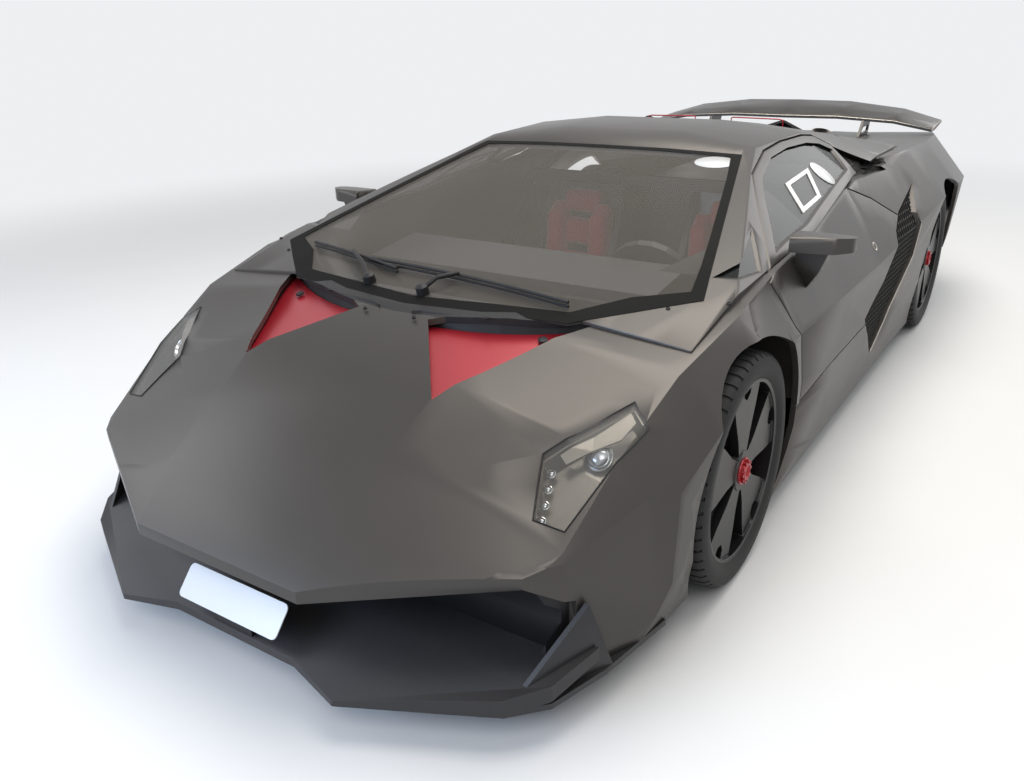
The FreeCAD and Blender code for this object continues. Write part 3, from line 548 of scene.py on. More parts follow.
@dataclass
class Studio:
    """Pale floor, pale background and large soft lamps."""

    floor_size: float = 80.0
    floor_colour: Colour = (0.70, 0.71, 0.72)
    floor_rough: float = 0.8
    mottle: float = 1.04
    mottle_scale: float = 3.0
    sky_colour: Colour = (0.93, 0.94, 0.96)
    sky_light: float = 0.42
    sky_seen: float = 0.92
    # where the floor starts and ends its fade into the background
    fade_from: float = 3.2
    fade_to: float = 7.5
    # name, place, aim, width, depth, watts, colour
    lamps: tuple = (
        ("key", (2.6, -5.0, 4.8), (0.2, -0.9, 0.5), 3.6, 2.6, 110.0, (1.0, 0.97, 0.92)),
        ("fill", (-4.6, -3.4, 3.0), (0.0, -0.6, 0.5), 3.0, 2.4, 55.0, (0.90, 0.94, 1.0)),
        ("nose", (-1.6, -5.6, 1.9), (-0.3, -2.1, 0.35), 3.0, 1.6, 125.0, (0.56, 0.72, 1.0)),
        ("ceiling", (0.4, 0.2, 5.2), (0.0, 0.0, 0.6), 5.0, 3.0, 270.0, (1.0, 0.95, 0.87)),
        ("tail", (2.6, 5.4, 3.6), (0.0, 1.4, 0.6), 4.0, 2.5, 80.0, (1.0, 1.0, 1.0)),
    )

    def build(self) -> None:
        """Adds the floor, the world and the lamps."""
        bpy.context.scene.view_settings.view_transform = "Standard"
        self.build_floor()
        self.build_world()
        for name, place, aim, width, depth, watts, colour in self.lamps:
            data = bpy.data.lights.new(name, "AREA")
            data.shape, data.size, data.size_y, data.energy = "RECTANGLE", width, depth, watts
            data.color = colour
            lamp = put(name, data)
            lamp.location = place
            way = Vector(aim) - Vector(place)
            lamp.rotation_euler = way.to_track_quat("-Z", "Y").to_euler()

    def build_floor(self) -> None:
        """Adds a pale floor with a faint mottle."""
        bpy.ops.object.select_all(action="DESELECT")
        bpy.ops.mesh.primitive_plane_add(size=self.floor_size)
        floor = bpy.context.object
        floor.name = "studio_floor"
        material = bpy.data.materials.new("pale floor")
        material.use_nodes = True
        graph = Graph(material.node_tree)
        shader = material.node_tree.nodes["Principled BSDF"]
        place = graph.add("ShaderNodeTexCoord").outputs["Object"]
        noise = graph.add("ShaderNodeTexNoise", Vector=place, Scale=self.mottle_scale, Detail=5.0)
        paler = tuple(c * self.mottle for c in self.floor_colour)
        tint = graph.mix(noise.outputs[0], self.floor_colour, paler)
        graph.feed(shader.inputs["Base Color"], tint)
        shader.inputs["Roughness"].default_value = self.floor_rough
        reach = graph.add("ShaderNodeVectorMath", {"operation": "LENGTH"})
        graph.feed(reach.inputs[0], place)
        far = graph.add("ShaderNodeMapRange", {"interpolation_type": "SMOOTHSTEP"},
                        Value=reach.outputs["Value"], From_Min=self.fade_from,
                        From_Max=self.fade_to)
        share = graph.math("MULTIPLY", far.outputs[0], self.seen(graph))
        glow = graph.add("ShaderNodeEmission", Color=(*self.sky_colour, 1.0),
                         Strength=self.sky_seen)
        blend = graph.add("ShaderNodeMixShader")
        for socket, value in zip(blend.inputs, (share, shader.outputs[0], glow.outputs[0])):
            graph.feed(socket, value)
        output = material.node_tree.nodes["Material Output"]
        graph.feed(output.inputs["Surface"], blend.outputs[0])
        floor.data.materials.append(material)

    def seen(self, graph: Graph) -> bpy.types.NodeSocket:
        """Tells what the camera, gloss and glass see from what only lights.

        Args:
            graph: The tree that gets the nodes.

        Returns:
            A mask that is 1 where the camera, gloss or glass looks, and 0 for plain light.
        """
        path = graph.add("ShaderNodeLightPath").outputs
        looked = graph.math("MAXIMUM", path["Is Camera Ray"], path["Is Transmission Ray"])
        return graph.math("MAXIMUM", looked, path["Is Glossy Ray"])

    def build_world(self) -> None:
        """Adds a sky that is pale to the camera and in reflections, and softer as a light."""
        world = bpy.data.worlds.new("studio")
        bpy.context.scene.world = world
        world.use_nodes = True
        graph = Graph(world.node_tree)
        sky = world.node_tree.nodes["Background"]
        sky.inputs["Color"].default_value = (*self.sky_colour, 1.0)
        strength = graph.spread(self.seen(graph), self.sky_light, self.sky_seen)
        graph.feed(sky.inputs["Strength"], strength)


class Workshop:
    """Mesh work that the sub-assemblies share."""

    # distances in metres, angles in degrees
    MERGE = 0.00002
    FLAT = 0.3
    CREASES = (26.0, 58.0)
    SHARP = (58.0, 180.0)
    CREASE_STEPS = 3
    PANEL_SMOOTH = 32
    TURNED_SMOOTH = 38
    TUBE_SMOOTH = 50

    def __init__(self, frame: dict, palette: Palette) -> None:
        """Keeps the frame and the finishes.

        Args:
            palette: The car's finishes.
        """
        self.nodes = frame["nodes"]
        self.palette = palette
        record = frame["record"]
        self.slots = {row["node"]: row["material_slot"] for row in record["subparts"]}
        self.bodies = {node: body for body, nodes in record["behaviour"]["bodies"].items()
                       for node in nodes}

    def deselect(self) -> None:
        """Leaves nothing selected."""
        bpy.ops.object.select_all(action="DESELECT")

    def make_active(self, piece: bpy.types.Object) -> None:
        """Selects one object and makes it active.

        Args:
            piece: The object.
        """
        self.deselect()
        piece.select_set(True)
        bpy.context.view_layer.objects.active = piece

    def open_mesh(self, piece: bpy.types.Object) -> None:
        """Opens a piece in edit mode with its whole mesh selected.

        Args:
            piece: The object.
        """
        self.make_active(piece)
        bpy.ops.object.mode_set(mode="EDIT")
        bpy.ops.mesh.select_all(action="SELECT")

    def close_mesh(self) -> None:
        """Goes back to object mode."""
        bpy.ops.object.mode_set(mode="OBJECT")

    def apply_modifiers(self, piece: bpy.types.Object) -> None:
        """Applies every modifier of a piece, in order.

        Args:
            piece: The object.
        """
        self.make_active(piece)
        for modifier in list(piece.modifiers):
            bpy.ops.object.modifier_apply(modifier=modifier.name)

    def smooth(self, piece: bpy.types.Object, degrees: float) -> None:
        """Shades a piece smooth up to an angle."""
        self.make_active(piece)
        bpy.ops.object.shade_smooth_by_angle(angle=math.radians(degrees))

    def take(self, name: str) -> bpy.types.Object:
        """Names the object that an operator has just made.

        Args:
            name: The object's and its mesh's name.

        Returns:
            The object.
        """
        piece = bpy.context.object
        piece.name = piece.data.name = name
        return piece

    def tree(self, node: str) -> BVHTree:
        """Readies a solid's faces for rays.

        Args:
            node: The solid's node.

        Returns:
            Its faces as a search tree.
        """
        mesh = self.nodes[node].data
        return BVHTree.FromPolygons([vertex.co for vertex in mesh.vertices],
                                    [face.vertices for face in mesh.polygons])

    def merged_copy(self, node: str, name: str) -> bpy.types.Object:
        """Copies a solid's mesh and joins its loose triangles.

        Args:
            node: The solid's node.
            name: The new piece's name.

        Returns:
            The merged copy.
        """
        piece = put(name, self.nodes[node].data.copy())
        self.open_mesh(piece)
        bpy.ops.mesh.remove_doubles(threshold=self.MERGE)
        bpy.ops.mesh.dissolve_limited(angle_limit=math.radians(self.FLAT))
        self.close_mesh()
        return piece

    def round_edges(self, piece: bpy.types.Object, angles: tuple[float, float], width: float,
                    steps: int = 1, material: int = -1) -> None:
        """Bevels the edges whose angle lies in a range.

        Args:
            piece: The object.
            angles: The least and the greatest angle, in degrees.
            width: The bevel's width in metres.
            steps: Its number of faces.
            material: The new faces' material slot, or -1 for their neighbours'.
        """
        mesh = piece.data
        shape = bmesh.new()
        shape.from_mesh(mesh)
        low, high = (math.radians(angle) for angle in angles)
        wanted = [low < edge.calc_face_angle(0.0) <= high for edge in shape.edges]
        shape.free()
        for items in (mesh.vertices, mesh.polygons):
            items.foreach_set("select", [False] * len(items))
        mesh.edges.foreach_set("select", wanted)
        self.make_active(piece)
        bpy.context.tool_settings.mesh_select_mode = (False, True, False)
        bpy.ops.object.mode_set(mode="EDIT")
        bpy.ops.mesh.bevel(offset=width, segments=steps, clamp_overlap=True, material=material)
        self.close_mesh()
        bpy.context.tool_settings.mesh_select_mode = (True, False, False)

    def soften(self, piece: bpy.types.Object, width: float, rim: float = 0.0) -> None:
        """Rounds a piece's creases, gives its sharp edges a narrow face and shades it smooth.

        Args:
            piece: The object.
            width: The creases' rounding in metres.
            rim: The width of the face along sharp edges, in the second material: a painted
                highlight.
        """
        self.round_edges(piece, self.CREASES, width, self.CREASE_STEPS)
        if rim:
            self.round_edges(piece, self.SHARP, rim, material=1)
        self.smooth(piece, self.PANEL_SMOOTH)

    def loop(self, name: str, points: list[Point], filled: bool) -> bpy.types.Object:
        """Moves a circle's corners onto points.

        Args:
            name: The piece's name.
            points: The corners in metres.
            filled: Whether a face fills the loop.

        Returns:
            The flat loop.
        """
        self.deselect()
        bpy.ops.mesh.primitive_circle_add(vertices=len(points),
                                          fill_type="NGON" if filled else "NOTHING")
        piece = self.take(name)
        for corner, place in zip(piece.data.vertices, points):
            corner.co = place
        return piece

    def plate(self, name: str, outline: list[Point], push: Point) -> bpy.types.Object:
        """Extrudes an outline.

        Args:
            name: The piece's name.
            outline: The corners in metres.
            push: The way and the distance of the extrusion.

        Returns:
            The closed plate.
        """
        piece = self.loop(name, outline, True)
        self.open_mesh(piece)
        bpy.ops.mesh.extrude_region_move(TRANSFORM_OT_translate={"value": push})
        bpy.ops.mesh.select_all(action="SELECT")
        bpy.ops.mesh.normals_make_consistent(inside=False)
        self.close_mesh()
        return piece

    def sheet(self, name: str, rows: list[list[Point]], wall: float) -> bpy.types.Object:
        """Moves a grid's corners onto rows of points and gives it a wall.

        Args:
            name: The piece's name.
            rows: Rows of as many points each.
            wall: The wall's thickness.

        Returns:
            The closed sheet.
        """
        self.deselect()
        bpy.ops.mesh.primitive_grid_add(x_subdivisions=len(rows[0]) - 1,
                                        y_subdivisions=len(rows) - 1)
        piece = self.take(name)
        for corner, place in zip(piece.data.vertices, [point for row in rows for point in row]):
            corner.co = place
        thick = piece.modifiers.new("wall", "SOLIDIFY")
        thick.thickness, thick.offset = wall, 0.0
        self.apply_modifiers(piece)
        self.face_out(piece)
        return piece

    def face_out(self, piece: bpy.types.Object) -> None:
        """Joins doubled points and turns the faces outwards.

        Args:
            piece: The object.
        """
        self.open_mesh(piece)
        bpy.ops.mesh.remove_doubles(threshold=self.MERGE)
        bpy.ops.mesh.normals_make_consistent(inside=False)
        self.close_mesh()

    def turned(self, name: str, profile: Section, centre: Point,
               steps: int = 32) -> bpy.types.Object:
        """Spins a closed section about an axle that runs across the car.

        Args:
            name: The piece's name.
            profile: Points across and out from the axle.
            centre: The axle's place.
            steps: The number of facets.

        Returns:
            The closed ring or disc.
        """
        x, y, z = centre
        piece = self.loop(name, [(x + across, y, z + out) for across, out in profile], False)
        self.open_mesh(piece)
        bpy.ops.mesh.spin(steps=steps, angle=math.tau, center=centre, axis=(1, 0, 0))
        self.close_mesh()
        self.face_out(piece)
        self.smooth(piece, self.TURNED_SMOOTH)
        return piece

    def aim(self, piece: bpy.types.Object, centre: Point, way: Point) -> None:
        """Turns a shape made about the X axis towards a direction and moves it into place.

        Args:
            piece: The object.
            centre: Its new place.
            way: Where its X axis points.
        """
        turn = Vector(way).to_track_quat("X", "Z").to_matrix().to_4x4()
        piece.data.transform(Matrix.Translation(Vector(centre)) @ turn)

    def button(self, name: str, profile: Section, centre: Point, way: Point,
               steps: int = 32) -> bpy.types.Object:
        """Makes a small round part that faces a given way.

        Args:
            name: The piece's name.
            profile: Points along and out from its axis.
            centre: Its place.
            way: Where its axis points.
            steps: The number of facets.

        Returns:
            The part.
        """
        piece = self.turned(name, profile, ORIGIN, steps)
        self.aim(piece, centre, way)
        return piece

    def tube(self, name: str, path: list[Point], radius: float,
             closed: bool = False) -> bpy.types.Object:
        """Makes a round bar along a path.

        Args:
            name: The piece's name.
            path: The points in metres.
            radius: The bar's radius.
            closed: Whether it joins its start.

        Returns:
            The bar's mesh.
        """
        curve = bpy.data.curves.new(name, "CURVE")
        curve.dimensions, curve.bevel_depth, curve.bevel_resolution = "3D", radius, 2
        curve.use_fill_caps = True
        line = curve.splines.new("POLY")
        line.points.add(len(path) - 1)
        for point, place in zip(line.points, path):
            point.co = (*place, 1.0)
        line.use_cyclic_u = closed
        self.make_active(put(name, curve))
        bpy.ops.object.convert(target="MESH")
        piece = self.take(name)
        self.face_out(piece)
        self.smooth(piece, self.TUBE_SMOOTH)
        return piece

    def finish(self, piece: bpy.types.Object, body: str, slot: str, look: str = "",
               rim: str = "") -> None:
        """Dresses a piece and lets it ride on a body.

        Args:
            piece: The object.
            body: The body's name.
            slot: The record's slot.
            look: The finish, where it isn't the slot's own.
            rim: The finish of its narrow edge faces, a painted highlight.
        """
        if rim:
            piece.data.materials[0] = self.palette.finishes[look or slot]
            piece.data.materials[1] = self.palette.finishes[rim]
        else:
            self.palette.dress(piece, look or slot)
        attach(piece, body)
        log.info("%s: %d faces on %s", piece.name, len(piece.data.polygons), body)


@dataclass
class PlainSolids:
    """Solids whose shape is right: they only get their finish."""

    shop: Workshop
    looks: dict[str, str] = field(default_factory=lambda: {"windscreen": "windscreen",
                                                           "quarter_glass": "dark_glass"})

    def build(self) -> None:
        """Dresses every node."""
        for node, thing in self.shop.nodes.items():
            self.shop.palette.dress(thing, self.looks.get(node, self.shop.slots[node]))


@dataclass
class BodyPanels:
    """The large panels: each a merged copy with softened creases, most with a painted edge
    highlight.
    """

    shop: Workshop
    # nodes, crease width, then the width and the finish of the painted edge highlight
    groups: tuple = (
        (("front_clamshell", "rear_clamshell", "roof_frame", "door_left", "door_right",
          "front_posts", "side_skirts", "engine_cover", "wing", "wing_stays"),
         0.006, 0.0022, "edge"),
        (("mirror_left", "mirror_right"), 0.012, 0.004, "edge"),
        (("wheel_front_left", "wheel_front_right", "wheel_rear_left", "wheel_rear_right"),
         0.002, 0.0016, "black_edge_highlight"),
        (("splitter", "diffuser"), 0.004, 0.0016, "black_edge_highlight"),
        (("cowl", "scoop_liners", "rear_fascia", "dashboard", "seat_shells", "nose_duct"),
         0.004, 0.0, ""),
    )

    def build(self) -> None:
        """Puts a softened copy in place of each panel's solid."""
        shop = self.shop
        for nodes, crease, rim, look in self.groups:
            for node in nodes:
                piece = shop.merged_copy(node, node + "_panel")
                piece.data.materials.clear()
                # the bevel can give its faces the second slot only if it is there
                for _ in range(2):
                    piece.data.materials.append(None)
                shop.soften(piece, crease, rim)
                shop.finish(piece, shop.bodies[node], shop.slots[node], rim=look)
                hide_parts(node)


@dataclass
class Tyres:
    """Rubber tyres with rounded shoulders, grooves and sipes."""

    shop: Workshop
    steps: int = 216
    merge: float = 0.00005
    bead: float = 0.2623
    # the sidewall from the bead out: in from the side, then up from the bead
    foot: Section = ((0.013, 0.0), (0.002, 0.016))
    # in from the side, then down from the tread
    shoulder: Section = ((0.0, 0.032), (0.006, 0.014), (0.018, 0.004))
    # the grooves' places as shares of half the width, then their section
    grooves: tuple = (-0.55, -0.2, 0.2, 0.55)
    groove: Section = ((-0.007, 0.001), (-0.0055, 0.007), (0.0055, 0.007), (0.007, 0.001))
    sipe_every: int = 4
    sipe_inset: float = 0.0012
    sipe_depth: float = 0.004
    sipe_reach: float = 0.013
    sipe_from: float = 0.62

    def profile(self, axle: Axle) -> Section:
        """The tyre's section, across and out from the axle.

        Args:
            axle: The end's wheels.

        Returns:
            Points from the inner bead over the tread to the outer bead.
        """
        half, radius = axle.width / 2, axle.radius
        side = [(inset - half, self.bead + up) for inset, up in self.foot]
        side += [(inset - half, radius - down) for inset, down in self.shoulder]
        tread = [(share * half + x, radius - down) for share in self.grooves
                 for x, down in self.groove]
        return side + tread + [(-x, out) for x, out in reversed(side)]

    def cut_sipes(self, ring: bmesh.types.BMesh, middle: float, axle: Axle) -> None:
        """Presses short cross grooves into both shoulders.

        Args:
            ring: The tyre's faces.
            middle: The tyre's middle across the car.
            axle: The end's wheels.
        """
        chosen = []
        for face in ring.faces:
            place = face.calc_center_median()
            ahead, above = place.y - axle.along, place.z - axle.radius
            column = round(math.atan2(above, ahead) % math.tau / math.tau * self.steps - 0.5)
            if (math.hypot(ahead, above) > axle.radius - self.sipe_reach
                    and abs(place.x - middle) > axle.width / 2 * self.sipe_from
                    and column % self.sipe_every == 0):
                chosen.append(face)
        bmesh.ops.inset_individual(ring, faces=chosen, thickness=self.sipe_inset,
                                   depth=-self.sipe_depth)

    def build(self) -> None:
        """Builds a tyre for each wheel."""
        for axle in AXLES:
            for side, sign in SIDES:
                self.build_tyre(f"tyre_{axle.end}_{side}", sign, axle)

    def build_tyre(self, node: str, sign: int, axle: Axle) -> None:
        """Spins one tyre's section round its axle.

        Args:
            node: The solid that it replaces.
            sign: 1 on the left and -1 on the right.
            axle: The end's wheels.
        """
        ring = bmesh.new()
        start = [ring.verts.new((sign * axle.middle + x, axle.along, axle.radius + out))
                 for x, out in self.profile(axle)]
        edges = [ring.edges.new(pair) for pair in zip(start, start[1:] + start[:1])]
        bmesh.ops.spin(ring, geom=start + edges, cent=(0, axle.along, axle.radius),
                       axis=(1, 0, 0), angle=math.tau, steps=self.steps)
        bmesh.ops.remove_doubles(ring, verts=ring.verts[:], dist=self.merge)
        bmesh.ops.recalc_face_normals(ring, faces=ring.faces[:])
        self.cut_sipes(ring, sign * axle.middle, axle)
        mesh = bpy.data.meshes.new(node + "_rubber")
        ring.to_mesh(mesh)
        ring.free()
        piece = put(node + "_rubber", mesh)
        self.shop.smooth(piece, self.shop.TURNED_SMOOTH)
        self.shop.finish(piece, self.shop.bodies[node], "tyre_rubber")
        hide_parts(node)


@dataclass
class Wheels:
    """Toothed centre nuts and brake calipers of the four wheels."""

    shop: Workshop
    # the nut's section, out from the hub's face and out from the axle
    nut: Section = ((0.0, 0.040), (0.003, 0.039), (0.004, 0.027), (0.013, 0.024),
                    (0.014, 0.019), (0.004, 0.014), (0.001, 0.009), (-0.002, 0.009),
                    (-0.002, 0.040))
    teeth: int = 10
    tooth_radius: float = 0.030
    tooth_rise: float = 0.007
    tooth_size: Point = (0.011, 0.008, 0.010)
    tooth_edge: float = 0.0012
    tooth_angles: tuple[float, float] = (40, 180)
    # the caliper's section: the disc's inner (0) or outer (1) face, away from it, out from the axle
    caliper: tuple = ((0, 0.024, 0.136), (0, 0.024, 0.190), (0, 0.014, 0.200),
                      (1, 0.014, 0.200), (1, 0.024, 0.190), (1, 0.024, 0.130),
                      (1, 0.016, 0.120), (1, 0.004, 0.120), (1, 0.004, 0.186),
                      (0, 0.004, 0.186), (0, 0.004, 0.120))
    caliper_span: float = 62.0
    caliper_middle: float = 52.0
    caliper_steps: int = 10
    caliper_crease: float = 0.003

    def build(self) -> None:
        """Builds the pieces of each wheel."""
        for axle in AXLES:
            for side, sign in SIDES:
                self.build_nut(f"{axle.end}_{side}", sign, axle)
                self.build_caliper(side, sign, axle)

    def build_nut(self, where: str, sign: int, axle: Axle) -> None:
        """Makes the red centre nut, with a tooth ring and a hollow middle.

        Args:
            where: The wheel's end and side.
            sign: 1 on the left and -1 on the right.
            axle: The end's wheels.
        """
        shop = self.shop
        centre = (sign * axle.hub_face, axle.along, axle.radius)
        profile = [(sign * x, out) for x, out in self.nut]
        nut = shop.turned(f"centre_nut_{where}", profile, centre)
        shop.finish(nut, f"wheel_{where}", "red_satin", "red_edge")
        for number in range(self.teeth):
            angle = math.tau * number / self.teeth
            place = Vector(centre) + Vector((sign * self.tooth_rise,
                                             math.cos(angle) * self.tooth_radius,
                                             math.sin(angle) * self.tooth_radius))
            shop.deselect()
            bpy.ops.mesh.primitive_cube_add(size=1.0, location=place, rotation=(angle, 0, 0))
            tooth = shop.take(f"nut_tooth_{number}")
            tooth.scale = self.tooth_size
            bpy.ops.object.transform_apply(location=True, rotation=True, scale=True)
            shop.round_edges(tooth, self.tooth_angles, self.tooth_edge)
            shop.palette.dress(tooth, "red_edge")
            shop.make_active(nut)
            tooth.select_set(True)
            bpy.ops.object.join()

    def build_caliper(self, side: str, sign: int, axle: Axle) -> None:
        """Makes a red brake caliper that straddles the disc.

        Args:
            side: Left or right.
            sign: 1 on the left and -1 on the right.
            axle: The end's wheels.
        """
        start = math.radians(self.caliper_middle - self.caliper_span / 2)
        section = []
        for face, away, out in self.caliper:
            across = axle.disc[face] + (away if face else -away)
            section.append((sign * across, axle.along + out * math.cos(start),
                            axle.radius + out * math.sin(start)))
        piece = self.shop.loop(f"brake_caliper_{axle.end}_{side}", section, True)
        self.shop.open_mesh(piece)
        bpy.ops.mesh.spin(steps=self.caliper_steps, angle=math.radians(self.caliper_span),
                          center=(0, axle.along, axle.radius), axis=(1, 0, 0),
                          use_normal_flip=False)
        self.shop.close_mesh()
        self.shop.face_out(piece)
        self.shop.soften(piece, self.caliper_crease)
        body = f"knuckle_{side}" if axle is FRONT else "chassis"
        self.shop.finish(piece, body, "red_satin", "red_edge")


@dataclass
class Headlamps:
    """Projectors, day-lamp dots, seals and a shelf under the clear covers."""

    shop: Workshop
    projector: Point = (0.752, -1.716, 0.568)
    lamp_way: Point = (0.12, -0.74, 0.66)
    # part, section, slot, finish
    lamp_parts: tuple = (
        ("bowl", ((-0.020, 0.012), (-0.020, 0.030), (0.002, 0.037), (0.006, 0.036),
                  (0.002, 0.031), (-0.008, 0.027)), "lamp_reflector", "chrome"),
        ("projector", ((-0.010, 0.0), (-0.010, 0.026), (-0.002, 0.026), (0.004, 0.021),
                       (0.008, 0.012), (0.009, 0.0)), "clear_glass", "lamp_glass"),
    )
    dots: tuple = ((0.673, -1.799, 0.540), (0.682, -1.830, 0.516), (0.692, -1.861, 0.493),
                   (0.701, -1.891, 0.470))
    cover_way: Point = (0.20, -0.56, 0.81)
    # part, section, finish
    dot_parts: tuple = (
        ("ring", ((-0.004, 0.007), (-0.004, 0.011), (0.002, 0.011), (0.003, 0.009)), "chrome"),
        ("dome", ((-0.003, 0.0), (-0.003, 0.007), (0.002, 0.005), (0.004, 0.0)), "lamp_glass"),
    )
    dot_steps: int = 16
    shelf: tuple = ((0.684, -1.776, 0.581), (0.700, -1.750, 0.594), (0.731, -1.700, 0.606),
                    (0.785, -1.618, 0.648), (0.806, -1.634, 0.634), (0.792, -1.680, 0.606),
                    (0.742, -1.728, 0.586), (0.704, -1.784, 0.566))
    shelf_push: Point = (0.0, 0.0, -0.004)
    outline: tuple = ((0.785, -1.600, 0.670), (0.842, -1.640, 0.629), (0.829, -1.698, 0.606),
                      (0.815, -1.750, 0.586), (0.775, -1.915, 0.480), (0.700, -1.925, 0.492),
                      (0.676, -1.863, 0.541), (0.652, -1.800, 0.588), (0.686, -1.750, 0.614),
                      (0.719, -1.700, 0.626), (0.752, -1.650, 0.650))
    seal_radius: float = 0.0022

    def build(self) -> None:
        """Builds both lamps."""
        for side, sign in SIDES:
            self.build_lamp(side, sign)

    def build_lamp(self, side: str, sign: int) -> None:
        """Builds the inner parts of one lamp.

        Args:
            side: Left or right.
            sign: 1 on the left and -1 on the right.
        """
        shop = self.shop
        for part, section, slot, look in self.lamp_parts:
            piece = shop.button(f"lamp_{part}_{side}", section, mirrored(self.projector, sign),
                                mirrored(self.lamp_way, sign))
            shop.finish(piece, "chassis", slot, look)
        for number, dot in enumerate(self.dots):
            for part, section, look in self.dot_parts:
                piece = shop.button(f"day_lamp_{part}_{side}_{number}", section,
                                    mirrored(dot, sign), mirrored(self.cover_way, sign),
                                    self.dot_steps)
                shop.finish(piece, "chassis", "lamp_reflector", look)
        ledge = shop.plate(f"lamp_shelf_{side}", [mirrored(p, sign) for p in self.shelf],
                           self.shelf_push)
        shop.finish(ledge, "chassis", "lamp_reflector")
        seal = shop.tube(f"lamp_seal_{side}", [mirrored(p, sign) for p in self.outline],
                         self.seal_radius, closed=True)
        shop.finish(seal, "chassis", "black_plastic")


@dataclass
class Screen:
    """The windscreen's dark border, the scoops' rear walls, the wipers and the blank ovals."""

    shop: Workshop
    half: float = 0.9
    # height, then how far back the glass is in its middle and at its sides
    levels: tuple = ((0.700, -0.575, -0.330), (1.160, 1.350, 1.460))
    # where a height is searched, and how often that span is halved
    span: tuple[float, float] = (0.60, 1.16)
    halvings: int = 40
    lift: float = 0.001
    # half outline, across and back from the front axle
    edge: Section = ((0.0, -0.300), (0.25, -0.268), (0.500, -0.230), (0.64, -0.110),
                     (0.782, 0.015), (0.741, 0.170), (0.693, 0.352), (0.645, 0.533),
                     (0.593, 0.730), (0.541, 0.926), (0.27, 0.922), (0.0, 0.918))
    # the border's inner line: across, and how far behind the outline
    band: Section = ((0.0, 0.050), (0.25, 0.050), (0.480, 0.050), (0.60, 0.060),
                     (0.735, 0.025), (0.708, 0.0), (0.663, 0.0), (0.615, 0.0),
                     (0.563, 0.0), (0.512, -0.030), (0.27, -0.026), (0.0, -0.026))
    border: float = 0.001
    # the rear edge of the red liner in the hood scoop
    liner: tuple = ((0.060, -1.545, 0.728), (0.086, -1.531, 0.730), (0.162, -1.522, 0.726),
                    (0.242, -1.505, 0.725), (0.320, -1.483, 0.724), (0.396, -1.453, 0.726),
                    (0.470, -1.418, 0.729), (0.540, -1.377, 0.735), (0.607, -1.331, 0.741),
                    (0.630, -1.311, 0.744))
    wall: float = 0.003
    wall_gap: float = 0.004
    wall_lean: float = 0.014
    wall_rise: float = 0.03
    # the cowl's height, from where across it climbs, and how steeply
    cowl: tuple[float, float, float] = (0.766, 0.5, 0.14)
    # name, pivot, the blade's two ends, each across and back from the front axle
    wipers: tuple = (("long", (0.02, -0.232), (-0.30, -0.110), (0.47, -0.165)),
                     ("short", (-0.20, -0.215), (-0.60, -0.035), (-0.14, -0.150)))
    # the arm's height over the glass at its pivot, elbow and end
    arm_lifts: tuple[float, float, float] = (0.014, 0.034, 0.026)
    arm_elbow: float = 0.4
    arm_radius: float = 0.0075
    # part, height over the glass, radius
    blade_parts: tuple = (("spine", 0.019, 0.0055), ("rubber", 0.007, 0.0045))
    blade_steps: int = 12
    cap: Section = ((-0.024, 0.0), (-0.024, 0.020), (0.010, 0.018), (0.016, 0.010),
                    (0.016, 0.0))
    cap_way: Point = (0.0, -0.24, 0.97)
    cap_steps: int = 20
    # name, body, centre, normal, half length and half height
    ovals: tuple = (
        ("windscreen", "chassis", (0.474, -0.350, 1.0285), (0.04, -0.24, 0.97), 0.072, 0.048),
        ("left", "door_left", (0.7335, 0.070, 0.9435), (0.59, -0.05, 0.81), 0.046, 0.060),
        ("right", "door_right", (-0.7335, 0.070, 0.9435), (-0.59, -0.05, 0.81), 0.046, 0.060),
    )
    oval: Section = ((0.0, 0.0), (0.0, 1.0), (0.001, 0.99), (0.001, 0.0))
    oval_steps: int = 40

    def height(self, across: float, back: float) -> float:
        """The height of the glass at a place in plan.

        Args:
            across: The distance from the car's middle.
            back: The distance behind the front axle.

        Returns:
            The outer face's height.
        """
        (low, low_middle, low_side), (high, high_middle, high_side) = self.levels
        near, far = self.span
        for _ in range(self.halvings):
            level = (near + far) / 2
            share = (level - low) / (high - low)
            middle = low_middle + share * (high_middle - low_middle)
            rise = low_side + share * (high_side - low_side) - middle
            radius = (self.half ** 2 + rise ** 2) / (2 * rise)
            if middle + radius - math.sqrt(radius ** 2 - across ** 2) < back:
                near = level
            else:
                far = level
        return near

    def on_glass(self, place: tuple[float, float], lift: float) -> Point:
        """A point over the glass, from its place across and behind the front axle."""
        across, back = place
        return (across, FRONT.along + back, self.height(abs(across), back) + lift)

    def build(self) -> None:
        """Builds the pieces in order."""
        self.build_border()
        self.build_scoop_walls()
        for row in self.wipers:
            self.build_wiper(*row)
        self.build_ovals()

    def build_border(self) -> None:
        """Makes the black band inside the glass's outline, on both sides."""
        for side, sign in SIDES:
            outer = [self.on_glass((sign * x, y), self.lift) for x, y in self.edge]
            inner = [self.on_glass((sign * x, y + shift), self.lift)
                     for (_, y), (x, shift) in zip(self.edge, self.band)]
            border = self.shop.sheet(f"windscreen_border_{side}", [outer, inner], self.border)
            self.shop.finish(border, "chassis", "black_plastic", "black_mesh")

    def build_scoop_walls(self) -> None:
        """Closes the red scoops behind, up to the cowl."""
        level, start, slope = self.cowl
        for side, sign in SIDES:
            low = [(sign * x, y + self.wall_gap, z - self.wall_gap) for x, y, z in self.liner]
            high = [(sign * x, y + self.wall_lean,
                     max(z + self.wall_rise, level + max(0.0, x - start) * slope))
                    for x, y, z in self.liner]
            wall = self.shop.sheet(f"scoop_rear_wall_{side}", [low, high], self.wall)
            self.shop.finish(wall, "chassis", "black_plastic")

